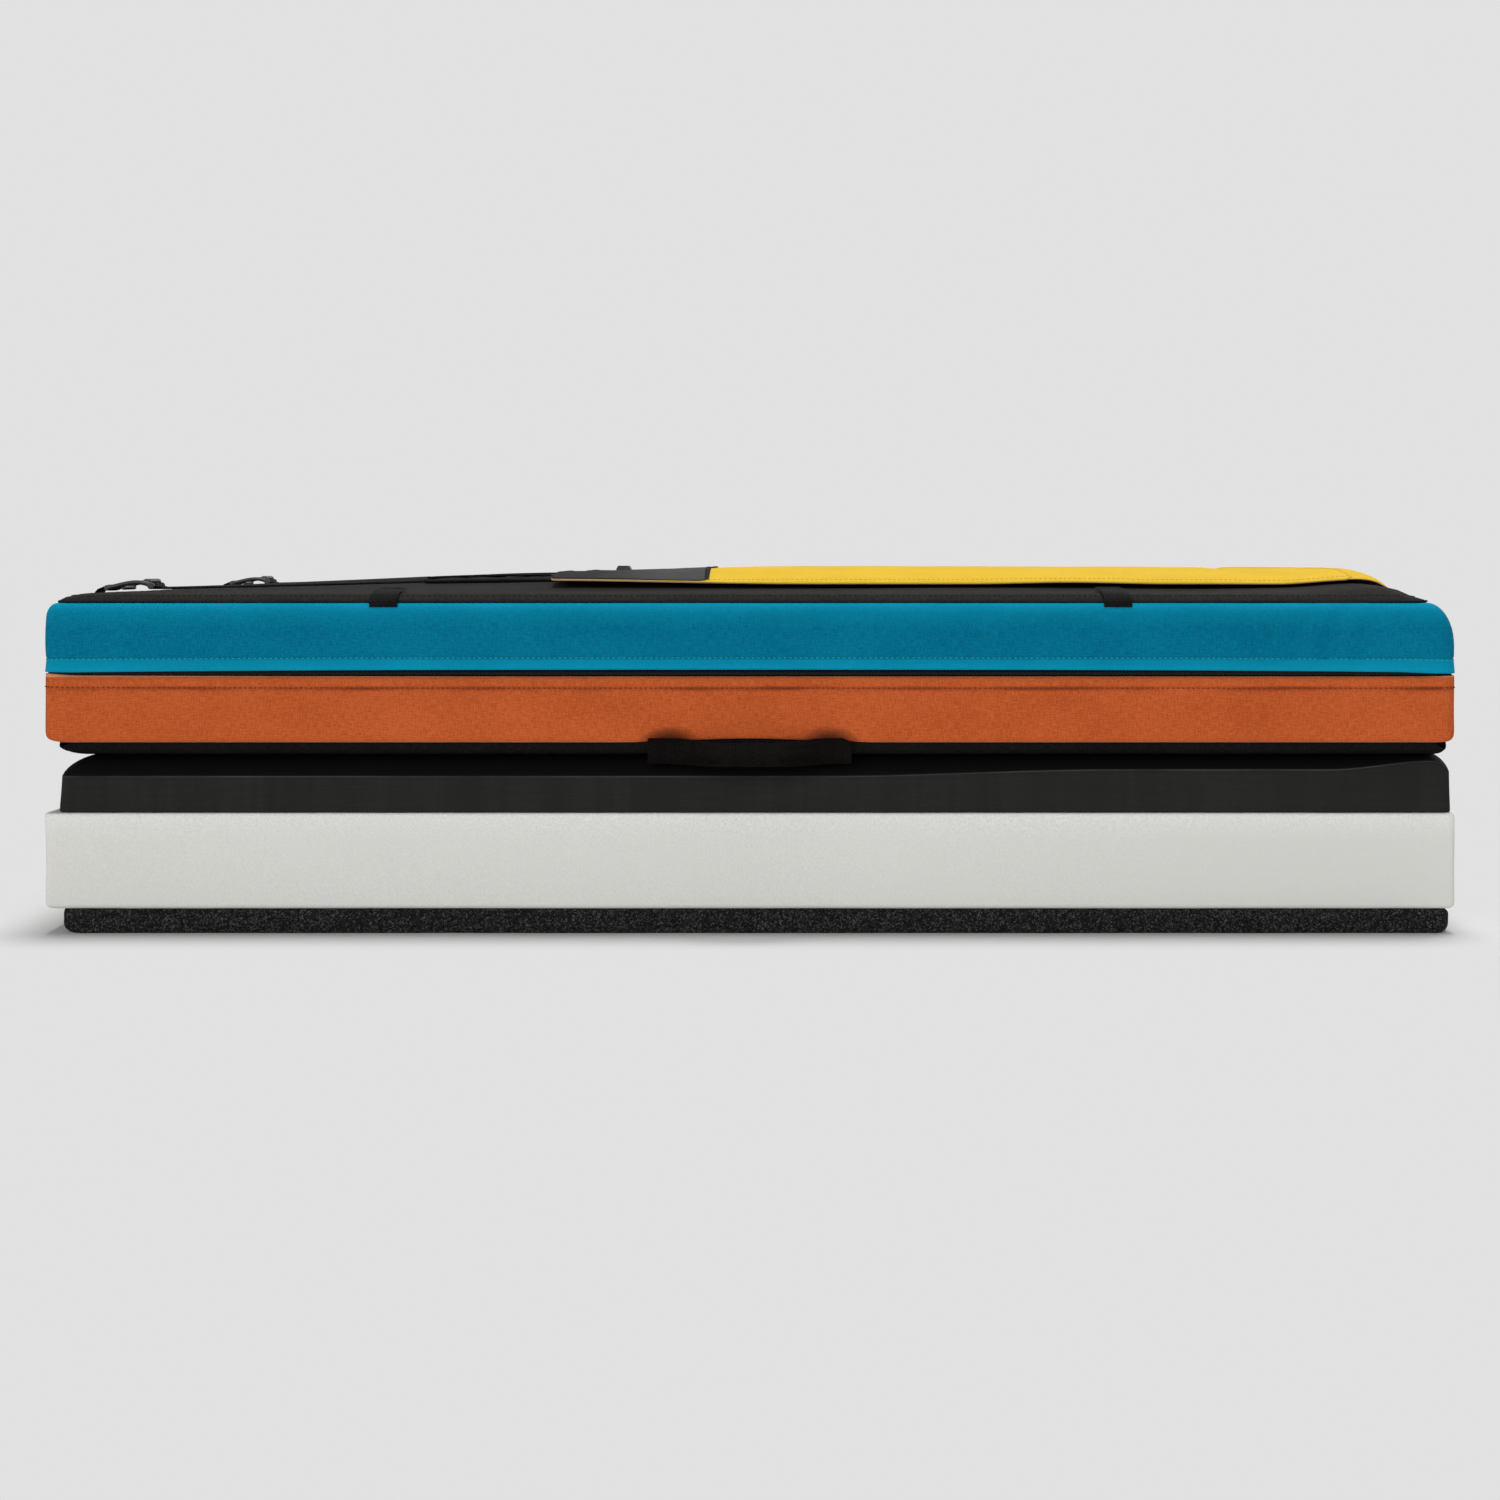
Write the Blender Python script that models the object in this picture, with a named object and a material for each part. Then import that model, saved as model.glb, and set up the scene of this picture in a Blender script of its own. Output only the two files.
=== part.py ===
"""A folded bouldering crash pad, built piece by piece.

The upper half lies on the lower half, landing side to landing side. The upper half is in its zipped cover and carries
the shoulder straps, the flap and the carry handle. The lower half shows its three foam layers, with the cover off.

Metres, +Z up. X runs along the long front side, -Y is the front, and the floor is at Z = 0.
"""

import math

import bmesh
import bpy
from mathutils import Vector

# Whole pad
PAD_WIDTH = 1.0000
PAD_DEPTH = 0.6500
COVER_CORNER = 0.0140  # plan radius of the cover's corners
CLOTH = 0.0012  # cover fabric with its coating
FIT = 0.0003  # gap between pieces that touch
SLACK = 0.0006  # gap under soft pieces that lie on a curved one

# Foam layers, from the ground up
GROUND_FOAM = 0.0182
CORE_FOAM = 0.0670
LANDING_FOAM = 0.0415
FOAM_CORNER = 0.0050
CORE_OVERHANG = 0.0005
GROUND_LEFT, GROUND_RIGHT, GROUND_FRONT = 0.0130, 0.0040, 0.0030  # how far the layer stands back from the cover
LANDING_LEFT, LANDING_RIGHT, LANDING_FRONT = 0.0098, 0.0020, 0.0020
GROUND_ROUND = 0.0075  # rounding of the ground layer's long edges
CORE_ROUND = 0.0020
LANDING_DROP = 0.0150  # how far the landing layer's rim lies under its crown
LANDING_ROUND_LEFT, LANDING_ROUND_RIGHT, LANDING_ROUND_FRONT = 0.0280, 0.0100, 0.0260

# Heights of the cover's bands above the contact between the halves
LANDING_RIM = 0.0088
ORANGE_HEIGHT = 0.0474
ZIP_GAP = 0.0039
TEAL_HEIGHT = 0.0491
LANDING_PANEL_ROUND_LEFT, LANDING_PANEL_ROUND = 0.0140, 0.0090
ORANGE_TURN_LEFT, ORANGE_TURN_RIGHT, ORANGE_TURN_FRONT = 0.0085, 0.0035, 0.0030
ORANGE_TURN_HEIGHT = 0.0040
TEAL_TURN_LEFT, TEAL_TURN_RIGHT, TEAL_TURN_FRONT = 0.0063, 0.0167, 0.0020
TEAL_TURN_HEIGHT_LEFT, TEAL_TURN_HEIGHT_RIGHT, TEAL_TURN_HEIGHT_FRONT = 0.0100, 0.0330, 0.0060
HEM_HEIGHT = 0.0082
HEM_FLARE = 0.0007
TAPE_WIDTH = 0.0200
TAPE_THICKNESS = 0.0008
COIL_THICKNESS = 0.0010
COIL_REAR_GAP = 0.0200  # from the rear wall to the coil's ends

# Ground panel's crown over its seam
PANEL_EDGE_RISE = 0.0046
PANEL_CROWN_RISE = 0.0064
PANEL_EDGE_REACH = 0.0300
PANEL_CROWN_LEFT, PANEL_CROWN_RIGHT, PANEL_CROWN_FRONT = 0.3600, 0.0350, 0.1200

# Filling of the upper half
FILL_SIDE = 0.0040
FILL_RIGHT = 0.0090
FILL_TOP_RIGHT, FILL_TOP_LEFT = 0.0220, 0.0130
FILL_EASE = 0.0010  # play between the ground panel and the foam under it

# Fold
LEAF_HEIGHT = 0.0800
LEAF_END = 0.0200  # from the pad's sides to the leaves' ends
FOLD_CLEARANCE = 0.0020  # from the leaves to the axis of the fold
FOLD_ROLL = 0.0015
LEAF_TO_ROLL = 0.0006

# Webbing and shoulder straps
STRAP_WEBBING_WIDTH = 0.0250
STRAP_WEBBING = 0.0020
STRAP_SPREAD = 0.1950  # from the pad's middle to a strap's middle at the buckles
STRAP_SPREAD_TOP = 0.1150
STRAP_IN = 0.0530  # from the pad's left side to the strap's start
SHOULDER_PAD_IN = 0.2500
SHOULDER_PAD_TOP_IN = 0.0820  # from the pad's right side
SHOULDER_PAD_WIDTH = 0.0680
SHOULDER_PAD = 0.0062
SHOULDER_PAD_TIP = 0.0034
SHOULDER_PAD_TAPER = 0.1600
SHOULDER_PAD_EDGE = 0.0024
TOP_BAND_WIDTH = 0.0250
TOP_BAND = 0.0014
TOP_BAND_OVERHANG = 0.0200

# Ladderlock adjusters
BUCKLE_IN = 0.0110  # from the pad's left side to the anchor bar
BUCKLE_UP = 0.0083  # the anchor bar's height over the seam
BUCKLE_BAR_RADIUS = 0.0011
BUCKLE_LENGTH = 0.0365  # from the anchor bar to the threading bar
BUCKLE_DROP = 0.0014  # how much higher the threading bar lies than the anchor bar
BUCKLE_ARCH = 0.0036
BUCKLE_RAIL = 0.0032
BUCKLE_RAIL_WIDTH = 0.0034
BUCKLE_BOSS = 0.0021
BUCKLE_END = 0.0027
BUCKLE_SIDE_GAP = 0.0007
THREAD_BAR_RADIUS = 0.0013
FOOT_BAR_RADIUS = 0.0016
FOOT_BAR_DROP = 0.0029  # under the rails' middle line
FOOT_BAR_SHARE = 0.3700  # along the rails
LIP_LENGTH = 0.0085
LIP_THICKNESS = 0.0012
LIP_RISE = 0.0024
LIP_SHARE = 0.8700
ANCHOR_WEBBING = 0.0010
LOOP_WEBBING = 0.0010
LOOP_END_GAP = 0.0001
ANCHOR_FOOT_DROP = 0.0024
ANCHOR_BULGE = 0.0052

# Flap
FLAP_FREE_IN, FLAP_SEWN_IN = 0.3520, 0.0360  # from the pad's left and right sides
FLAP_WIDTH = 0.5100
FLAP_CORNER = 0.0060
FLAP_CLOTH = 0.0014
FLAP_EDGE_LIFT = 0.0013
FLAP_DOME = 0.0096
FLAP_DOME_REACH = 0.1000
FLAP_FREE_END_SHARE = 0.66
FLAP_FREE_END_REACH = 0.1500
FLAP_SEWN_REACH = 0.0480
FLAP_CURL = 0.0026
FLAP_CURL_REACH = 0.0400
FLAP_SAG = 0.0060  # how far it sinks between the straps at its free end
FLAP_SAG_HALF = 0.1150
PATCH_IN, PATCH_LENGTH = 0.0060, 0.1100
PATCH_SIDE = 0.0060
PATCH_CLOTH = 0.0006
SEAM_STRIP_WIDTH = 0.0080
SEAM_STRIP = 0.0008
FLAP_HINGE_GAP = 0.0006
HOLD_STRAP_WIDTH = 0.0200
HOLD_STRAP = 0.0012
HOLD_STRAP_REACH, HOLD_STRAP_TAIL = 0.1160, 0.0520  # to the left and right of the flap's free end
HOLD_STRAP_LAND = 0.0260  # length that lies on the panel
HOLD_ANCHOR_LENGTH = 0.0350
SLIDER_IN = 0.0400
SLIDER_LENGTH, SLIDER_WIDTH, SLIDER_HEIGHT = 0.0120, 0.0270, 0.0054
SLIDER_EDGE = 0.0016

# Link tabs on the front top edge
TAB_WIDTH = 0.0200
TAB_WEBBING = 0.0014
TAB_LEFT_IN, TAB_RIGHT_IN = 0.2400, 0.2390  # from the pad's sides to a tab's middle
TAB_RUN = 0.0420
TAB_DROP = 0.0030

# Carry handle
HANDLE_WEBBING = 0.0018
HANDLE_WIDTH = 0.0200
HANDLE_UP = 0.0036  # over the contact between the halves
HANDLE_HALF = 0.0720
HANDLE_ROOT = 0.0600
HANDLE_RUN = 0.0450
HANDLE_FREE_HALF = 0.0400
HANDLE_BOW = 0.0220
HANDLE_SAG = 0.0010
HANDLE_TILT = 30

# Zip sliders and pull tabs
PULL_LENGTH, PULL_WIDTH, PULL_THICKNESS = 0.0300, 0.0080, 0.0016
SLOT_HEIGHT = 0.0030
BOSS_HEIGHT, BOSS_RADIUS = 0.0024, 0.0016
PULL_AXIS_OUT = 0.0020
TINE = 0.0012
PLATE_LENGTH, PLATE_HEIGHT, PLATE_THICKNESS = 0.0140, 0.0090, 0.0014
PLATE_NOSE_SHARE = 0.3
SLIDER_REST = 0.0750  # from the rear wall

# Counts
ROUND_STEPS = 5
ROD_SIDES = 12
BEND_STEPS = 10

# Worked out from the sizes above
CORE_Z = GROUND_FOAM
LANDING_Z = CORE_Z + CORE_FOAM
CONTACT_Z = LANDING_Z + LANDING_FOAM
ORANGE_Z = CONTACT_Z + LANDING_RIM
ORANGE_TOP_Z = ORANGE_Z + ORANGE_HEIGHT
TEAL_Z = ORANGE_TOP_Z + ZIP_GAP
SEAM_Z = TEAL_Z + TEAL_HEIGHT
ZIP_Z = (ORANGE_TOP_Z + TEAL_Z) / 2
FOLD_Z = CONTACT_Z - FIT / 2
HANDLE_Z = CONTACT_Z + HANDLE_UP
BUCKLE_BAR_Z = SEAM_Z + BUCKLE_UP

FOLD_OUT = FIT + CLOTH + FOLD_CLEARANCE
HANDLE_OUT = FIT + HANDLE_BOW + HANDLE_WEBBING / 2 + (
    HANDLE_WEBBING / 2 * math.cos(math.radians(HANDLE_TILT)) + HANDLE_WIDTH / 2 * math.sin(math.radians(HANDLE_TILT))
)
FRONT_Y = (HANDLE_OUT - FOLD_OUT - FOLD_ROLL - PAD_DEPTH) / 2  # the handle and the fold stand out unlike far
REAR_Y = FRONT_Y + PAD_DEPTH
MID_Y = (FRONT_Y + REAR_Y) / 2
FOLD_Y = REAR_Y + FOLD_OUT
LEFT_X, RIGHT_X = -PAD_WIDTH / 2, PAD_WIDTH / 2

BUCKLE_BAR_X = LEFT_X + BUCKLE_IN
STRAP_START_X = LEFT_X + STRAP_IN
PAD_START_X, PAD_END_X = LEFT_X + SHOULDER_PAD_IN, RIGHT_X - SHOULDER_PAD_TOP_IN
FLAP_START_X, FLAP_END_X = LEFT_X + FLAP_FREE_IN, RIGHT_X - FLAP_SEWN_IN
PATCH_START_X = FLAP_START_X + PATCH_IN
HOLD_STRAP_START_X, HOLD_STRAP_END_X = FLAP_START_X - HOLD_STRAP_REACH, FLAP_START_X + HOLD_STRAP_TAIL
SLIDER_X = FLAP_START_X + SLIDER_IN

NEAR, FAR = -1, 1
LEFT, RIGHT = -1, 1


# Materials


def material(name, colour, roughness, metallic=0.0):
    made = bpy.data.materials.new(name)
    made.use_nodes = True
    shader = made.node_tree.nodes["Principled BSDF"]
    shader.inputs["Base Color"].default_value = (*colour, 1.0)
    shader.inputs["Roughness"].default_value = roughness
    shader.inputs["Metallic"].default_value = metallic
    made.diffuse_color = (*colour, 1.0)
    return made


MATERIALS = {
    "rebonded_foam": ((0.020, 0.020, 0.022), 0.95),
    "white_foam": ((0.640, 0.650, 0.620), 0.95),
    "dark_foam": ((0.022, 0.020, 0.019), 0.85),
    "black_fabric": ((0.036, 0.034, 0.034), 0.75),
    "teal_fabric": ((0.000, 0.165, 0.285), 0.80),
    "orange_fabric": ((0.420, 0.085, 0.024), 0.80),
    "yellow_fabric": ((0.800, 0.520, 0.045), 0.75),
    "patch_fabric": ((0.045, 0.046, 0.050), 0.70),
    "black_webbing": ((0.012, 0.012, 0.013), 0.80),
    "strap_mesh": ((0.018, 0.018, 0.019), 0.85),
    "zip_black": ((0.010, 0.010, 0.011), 0.50),
    "buckle_plastic": ((0.030, 0.031, 0.032), 0.45),
    "zip_metal": ((0.060, 0.060, 0.062), 0.35, 0.8),
}


# Shape helpers


def finish(name, kind, mesh_maker, origin=None):
    """Closes a bmesh into a named object with its own material, its origin at the point given."""
    mesh = bpy.data.meshes.new(name)
    bmesh.ops.recalc_face_normals(mesh_maker, faces=mesh_maker.faces)
    if origin:
        bmesh.ops.translate(mesh_maker, verts=mesh_maker.verts, vec=-Vector(origin))
    mesh_maker.to_mesh(mesh)
    mesh_maker.free()
    piece = bpy.data.objects.new(name, mesh)
    if origin:
        piece.location = origin
    mesh.materials.append(material(name + "_" + kind, *MATERIALS[kind]))
    bpy.context.scene.collection.objects.link(piece)
    mesh.shade_smooth()
    mesh.set_sharp_from_angle(angle=math.radians(35))
    return piece


def quarter(t):
    """Height of a quarter ellipse over the share t of its reach."""
    t = min(max(t, 0.0), 1.0)
    return math.sqrt(1 - (1 - t) ** 2)


def smooth(t):
    t = min(max(t, 0.0), 1.0)
    return t * t * (3 - 2 * t)


def spread(low, high, low_reach, high_reach, steps, middle):
    """Grid lines from low to high, close together over the rounded reach at each end."""
    near_ends = [1 - math.cos(math.pi / 2 * k / steps) for k in range(steps + 1)]
    first = [low + low_reach * share for share in near_ends]
    last = [high - high_reach * share for share in near_ends][::-1]
    between = [first[-1] + (last[0] - first[-1]) * k / middle for k in range(1, middle)]
    return first + between + last


def even(low, high, steps):
    return [low + (high - low) * k / steps for k in range(steps + 1)]


def cornered(x, y, box, radius):
    """Moves a grid point near a corner of the box onto circles about the corner's centre."""
    x0, x1, y0, y1 = box
    centre_x = min(max(x, x0 + radius), x1 - radius)
    centre_y = min(max(y, y0 + radius), y1 - radius)
    dx, dy = x - centre_x, y - centre_y
    if dx == 0 or dy == 0:
        return x, y
    scale = max(abs(dx), abs(dy)) / math.hypot(dx, dy)
    return centre_x + dx * scale, centre_y + dy * scale


def sheet(name, kind, xs, ys, top, bottom, radius=0, place=None, origin=None):
    """A closed sheet or block: a grid with a top and a bottom height, and a wall round its rim."""
    box = (xs[0], xs[-1], ys[0], ys[-1])
    made = bmesh.new()
    upper, lower = [], []
    for y in ys:
        spots = [cornered(x, y, box, radius) for x in xs]
        if place:
            spots = [place(*spot) for spot in spots]
        upper.append([made.verts.new((*spot, top(*spot))) for spot in spots])
        lower.append([made.verts.new((*spot, bottom(*spot))) for spot in spots])
    for j in range(len(ys) - 1):
        for i in range(len(xs) - 1):
            made.faces.new((upper[j][i], upper[j][i + 1], upper[j + 1][i + 1], upper[j + 1][i]))
            made.faces.new((lower[j + 1][i], lower[j + 1][i + 1], lower[j][i + 1], lower[j][i]))
    rim_top, rim_bottom = border(upper), border(lower)
    for k in range(len(rim_top)):
        made.faces.new((rim_top[k - 1], rim_bottom[k - 1], rim_bottom[k], rim_top[k]))
    return finish(name, kind, made, origin)


def border(rows):
    """The outer vertices of a grid, counter-clockwise."""
    right = [row[-1] for row in rows[1:]]
    left = [row[0] for row in rows[1:-1]]
    return rows[0] + right + rows[-1][-2::-1] + left[::-1]


def ring_outline(insets, radius):
    """The pad's plan outline, drawn in from its left, right, front and rear sides."""
    left, right, front, rear = insets
    x0, x1 = LEFT_X + left, RIGHT_X - right
    y0, y1 = FRONT_Y + front, REAR_Y - rear
    corners = ((x1, y0, -90), (x1, y1, 0), (x0, y1, 90), (x0, y0, 180))
    points = []
    for x, y, turn in corners:
        centre_x = x - math.copysign(radius, x)
        centre_y = y + (radius if y == y0 else -radius)
        for k in range(ROUND_STEPS + 1):
            angle = math.radians(turn + 90 * k / ROUND_STEPS)
            points.append((centre_x + radius * math.cos(angle), centre_y + radius * math.sin(angle)))
    return points


def band(name, kind, levels, thickness, radius):
    """A wall all round the pad. Each level is a height and the insets of the wall's outer face."""
    made = bmesh.new()
    outer = [[made.verts.new((x, y, z)) for x, y in ring_outline(insets, radius)] for z, insets in levels]
    inner = []
    for z, insets in levels:
        inside = [inset + thickness for inset in insets]
        inner.append([made.verts.new((x, y, z)) for x, y in ring_outline(inside, radius - thickness)])
    rings = outer + inner[::-1]
    for low, high in zip(rings, rings[1:] + rings[:1]):
        for k in range(len(low)):
            made.faces.new((low[k - 1], low[k], high[k], high[k - 1]))
    return finish(name, kind, made)


def strip_sides(path, thickness):
    """The two sides of a strip of even thickness along a flat path, mitred at its bends."""
    left, right = [], []
    for k, point in enumerate(path):
        before = (point - path[k - 1]).normalized() if k else (path[1] - point).normalized()
        after = (path[k + 1] - point).normalized() if k + 1 < len(path) else before
        along = (before + after).normalized()
        across = Vector((-along.y, along.x)) * (thickness / 2 / max(along.dot(before), 0.5))
        left.append(point + across)
        right.append(point - across)
    return left, right


def ribbon(name, kind, path, thickness, low, high, across="y", origin=None, made=None):
    """A strip along a flat path: in the XZ plane and wide along Y, or in the YZ plane and wide along X."""
    alone = made is None
    made = made or bmesh.new()
    spot = (lambda p, w: (p.x, w, p.y)) if across == "y" else (lambda p, w: (w, p.x, p.y))
    left, right = strip_sides([Vector(p) for p in path], thickness)
    rings = []
    for a, b in zip(left, right):
        rings.append([made.verts.new(spot(*c)) for c in ((a, low), (a, high), (b, high), (b, low))])
    for start, end in zip(rings, rings[1:]):
        for k in range(4):
            made.faces.new((start[k - 1], start[k], end[k], end[k - 1]))
    made.faces.new(rings[0])
    made.faces.new(rings[-1][::-1])
    return finish(name, kind, made, origin) if alone else made


def prism(made, outline, low, high, spot):
    """A flat outline pulled from low to high. spot turns two plan values and a height into a point."""
    bottom = [made.verts.new(spot(a, b, low)) for a, b in outline]
    top = [made.verts.new(spot(a, b, high)) for a, b in outline]
    made.faces.new(bottom[::-1])
    made.faces.new(top)
    for k in range(len(outline)):
        made.faces.new((bottom[k - 1], bottom[k], top[k], top[k - 1]))
    return made


def circle(x, y, radius, sides, start=0, turn=360):
    """Points on a circle, or on an arc of it when turn is under 360."""
    last = sides if turn == 360 else sides - 1
    angles = [math.radians(start + turn * k / last) for k in range(sides)]
    return [(x + radius * math.cos(a), y + radius * math.sin(a)) for a in angles]


def along_y(a, b, height):
    return (a, height, b)


def along_x(a, b, height):
    return (height, a, b)


def along_z(a, b, height):
    return (a, b, height)


def united(name, kind, pieces, origin=None):
    """Joins overlapping solids into one closed body."""
    first, *rest = [finish(name + "_operand", kind, made) for made in pieces]
    for other in rest:
        cut = first.modifiers.new("join", "BOOLEAN")
        cut.operation = "UNION"
        cut.object = other
    joined = bmesh.new()
    joined.from_object(first, bpy.context.evaluated_depsgraph_get())
    bmesh.ops.remove_doubles(joined, verts=joined.verts, dist=FIT / 30)
    for piece in [first, *rest]:
        bpy.data.objects.remove(piece)
    return finish(name, kind, joined, origin)


# Heights of the ground panel and of what lies on it


def panel_box():
    return (
        LEFT_X + TEAL_TURN_LEFT,
        RIGHT_X - TEAL_TURN_RIGHT,
        FRONT_Y + TEAL_TURN_FRONT,
        REAR_Y - TEAL_TURN_FRONT,
    )


def panel_top(x, y):
    x0, x1, y0, y1 = panel_box()
    edge = (
        quarter((x - x0) / PANEL_EDGE_REACH)
        * quarter((x1 - x) / PANEL_EDGE_REACH)
        * quarter((y - y0) / PANEL_EDGE_REACH)
        * quarter((y1 - y) / PANEL_EDGE_REACH)
    )
    crown = (
        smooth((x - x0) / PANEL_CROWN_LEFT)
        * smooth((x1 - x) / PANEL_CROWN_RIGHT)
        * smooth((y - y0) / PANEL_CROWN_FRONT)
        * smooth((y1 - y) / PANEL_CROWN_FRONT)
    )
    return SEAM_Z + FIT + CLOTH + PANEL_EDGE_RISE * edge + PANEL_CROWN_RISE * crown


def flap_bottom(x, y):
    """Underside of the flap: close to the panel at its long edges, domed over the straps between."""
    side = FLAP_WIDTH / 2 - abs(y - MID_Y)
    across = quarter(side / FLAP_DOME_REACH)
    from_free = smooth((x - FLAP_START_X) / FLAP_FREE_END_REACH)
    free = FLAP_FREE_END_SHARE + (1 - FLAP_FREE_END_SHARE) * from_free
    sewn = 1 - max(1 - (FLAP_END_X - x) / FLAP_SEWN_REACH, 0.0) ** 2
    curl = 1 - smooth((x - FLAP_START_X) / FLAP_CURL_REACH)
    sag = FLAP_SAG * (1 - from_free) * (1 - smooth(abs(y - MID_Y) / FLAP_SAG_HALF))
    lift = FLAP_EDGE_LIFT + FLAP_DOME * across * free * sewn + FLAP_CURL * curl * (1 - across)
    return panel_top(x, y) + lift - sag


def flap_top(x, y):
    return flap_bottom(x, y) + FLAP_CLOTH


def strap_middle(x, side):
    """The Y of a shoulder strap's middle line, which draws in towards the top of the pack."""
    share = (x - STRAP_START_X) / (PAD_END_X - STRAP_START_X)
    return MID_Y + side * (STRAP_SPREAD + (STRAP_SPREAD_TOP - STRAP_SPREAD) * share)


# Lower half: bare foam


def foam_block(name, kind, insets, round_steps, top, bottom, reach):
    left, right, front, rear = insets
    xs = spread(LEFT_X + left, RIGHT_X - right, reach[0], reach[1], round_steps, 6)
    ys = spread(FRONT_Y + front, REAR_Y - rear, reach[2], reach[2], round_steps, 4)
    return sheet(name, kind, xs, ys, top, bottom, FOAM_CORNER)


def edge_share(insets, reach, x, y):
    """1 on the flat of a block, falling to 0 at its rim, over its left, right and front reach."""
    left, right, front, rear = insets
    return (
        quarter((x - LEFT_X - left) / reach[0])
        * quarter((RIGHT_X - right - x) / reach[1])
        * quarter((y - FRONT_Y - front) / reach[2])
        * quarter((REAR_Y - rear - y) / reach[2])
    )


def lower_foams():
    ground = (GROUND_LEFT, GROUND_RIGHT, GROUND_FRONT, GROUND_FRONT)
    ground_reach = (GROUND_ROUND, GROUND_ROUND, GROUND_ROUND)
    foam_block(
        "lower_ground_foam",
        "rebonded_foam",
        ground,
        ROUND_STEPS,
        lambda x, y: GROUND_FOAM - FIT - GROUND_ROUND / 2 * (1 - edge_share(ground, ground_reach, x, y)),
        lambda x, y: GROUND_ROUND * (1 - edge_share(ground, ground_reach, x, y)),
        ground_reach,
    )
    core = (-CORE_OVERHANG, -CORE_OVERHANG, 0, 0)
    core_reach = (CORE_ROUND, CORE_ROUND, CORE_ROUND)
    foam_block(
        "lower_core_foam",
        "white_foam",
        core,
        2,
        lambda x, y: LANDING_Z - FIT - CORE_ROUND * (1 - edge_share(core, core_reach, x, y)),
        lambda x, y: CORE_Z + CORE_ROUND * (1 - edge_share(core, core_reach, x, y)),
        core_reach,
    )
    landing = (LANDING_LEFT, LANDING_RIGHT, LANDING_FRONT, LANDING_FRONT)
    landing_reach = (LANDING_ROUND_LEFT, LANDING_ROUND_RIGHT, LANDING_ROUND_FRONT)
    foam_block(
        "lower_landing_foam",
        "dark_foam",
        landing,
        ROUND_STEPS + 1,
        lambda x, y: CONTACT_Z - FIT - LANDING_DROP * (1 - edge_share(landing, landing_reach, x, y)),
        lambda x, y: LANDING_Z,
        landing_reach,
    )


# Upper half: cover


def turned(reach, height, rise):
    """How far a band's edge is drawn in at a height above the start of its turn."""
    return reach * (1 - math.sqrt(1 - min(max(rise / height, 0), 1) ** 2))


def teal_insets(z):
    front = turned(TEAL_TURN_FRONT, TEAL_TURN_HEIGHT_FRONT, z - (SEAM_Z - TEAL_TURN_HEIGHT_FRONT))
    left = turned(TEAL_TURN_LEFT, TEAL_TURN_HEIGHT_LEFT, z - (SEAM_Z - TEAL_TURN_HEIGHT_LEFT))
    right = turned(TEAL_TURN_RIGHT, TEAL_TURN_HEIGHT_RIGHT, z - (SEAM_Z - TEAL_TURN_HEIGHT_RIGHT))
    return [left, right, front, front]


def orange_insets(z):
    rise = ORANGE_Z + ORANGE_TURN_HEIGHT - z
    reaches = (ORANGE_TURN_LEFT, ORANGE_TURN_RIGHT, ORANGE_TURN_FRONT, ORANGE_TURN_FRONT)
    return [turned(reach, ORANGE_TURN_HEIGHT, rise) for reach in reaches]


def cover_walls():
    turn = TEAL_TURN_HEIGHT_RIGHT
    turn_z = [SEAM_Z - turn + turn * math.sin(math.pi / 2 * k / (2 * ROUND_STEPS)) for k in range(2 * ROUND_STEPS + 1)]
    levels = [(z, teal_insets(z)) for z in turn_z]
    hem = [-HEM_FLARE] * 3 + [0.0]
    flat = [0.0] * 4
    levels = [(TEAL_Z, hem), (TEAL_Z + HEM_HEIGHT / 2, hem), (TEAL_Z + HEM_HEIGHT, flat)] + levels
    band("teal_wall", "teal_fabric", levels, CLOTH, COVER_CORNER)
    turn = ORANGE_TURN_HEIGHT
    turn_z = [ORANGE_Z + turn - turn * math.cos(math.pi / 2 * k / ROUND_STEPS) for k in range(ROUND_STEPS + 1)]
    levels = [(z, orange_insets(z)) for z in turn_z] + [(ORANGE_TOP_Z, flat)]
    band("orange_wall", "orange_fabric", levels, CLOTH, COVER_CORNER)


def zip_line():
    behind = [CLOTH + FIT] * 4
    levels = [(ZIP_Z - TAPE_WIDTH / 2, behind), (ZIP_Z + TAPE_WIDTH / 2, behind)]
    band("zip_tape", "zip_black", levels, TAPE_THICKNESS, COVER_CORNER - CLOTH - FIT)
    outer = ring_outline([CLOTH - COIL_THICKNESS] * 4, COVER_CORNER)
    inner = ring_outline([CLOTH] * 4, COVER_CORNER - COIL_THICKNESS)
    end_y = REAR_Y - COIL_REAR_GAP
    front = ROUND_STEPS + 1
    u_outer = [(RIGHT_X - CLOTH + COIL_THICKNESS, end_y)] + outer[front - 1 :: -1] + outer[: 3 * front - 1 : -1]
    u_inner = [(RIGHT_X - CLOTH, end_y)] + inner[front - 1 :: -1] + inner[: 3 * front - 1 : -1]
    u_outer.append((LEFT_X + CLOTH - COIL_THICKNESS, end_y))
    u_inner.append((LEFT_X + CLOTH, end_y))
    made = bmesh.new()
    low, high = ORANGE_TOP_Z + FIT, TEAL_Z - FIT
    rings = []
    for (ax, ay), (bx, by) in zip(u_outer, u_inner):
        rings.append([made.verts.new(v) for v in ((ax, ay, low), (ax, ay, high), (bx, by, high), (bx, by, low))])
    for start, end in zip(rings, rings[1:]):
        for k in range(4):
            made.faces.new((start[k - 1], start[k], end[k], end[k - 1]))
    made.faces.new(rings[0])
    made.faces.new(rings[-1][::-1])
    finish("zip_coil", "zip_black", made)


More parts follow.
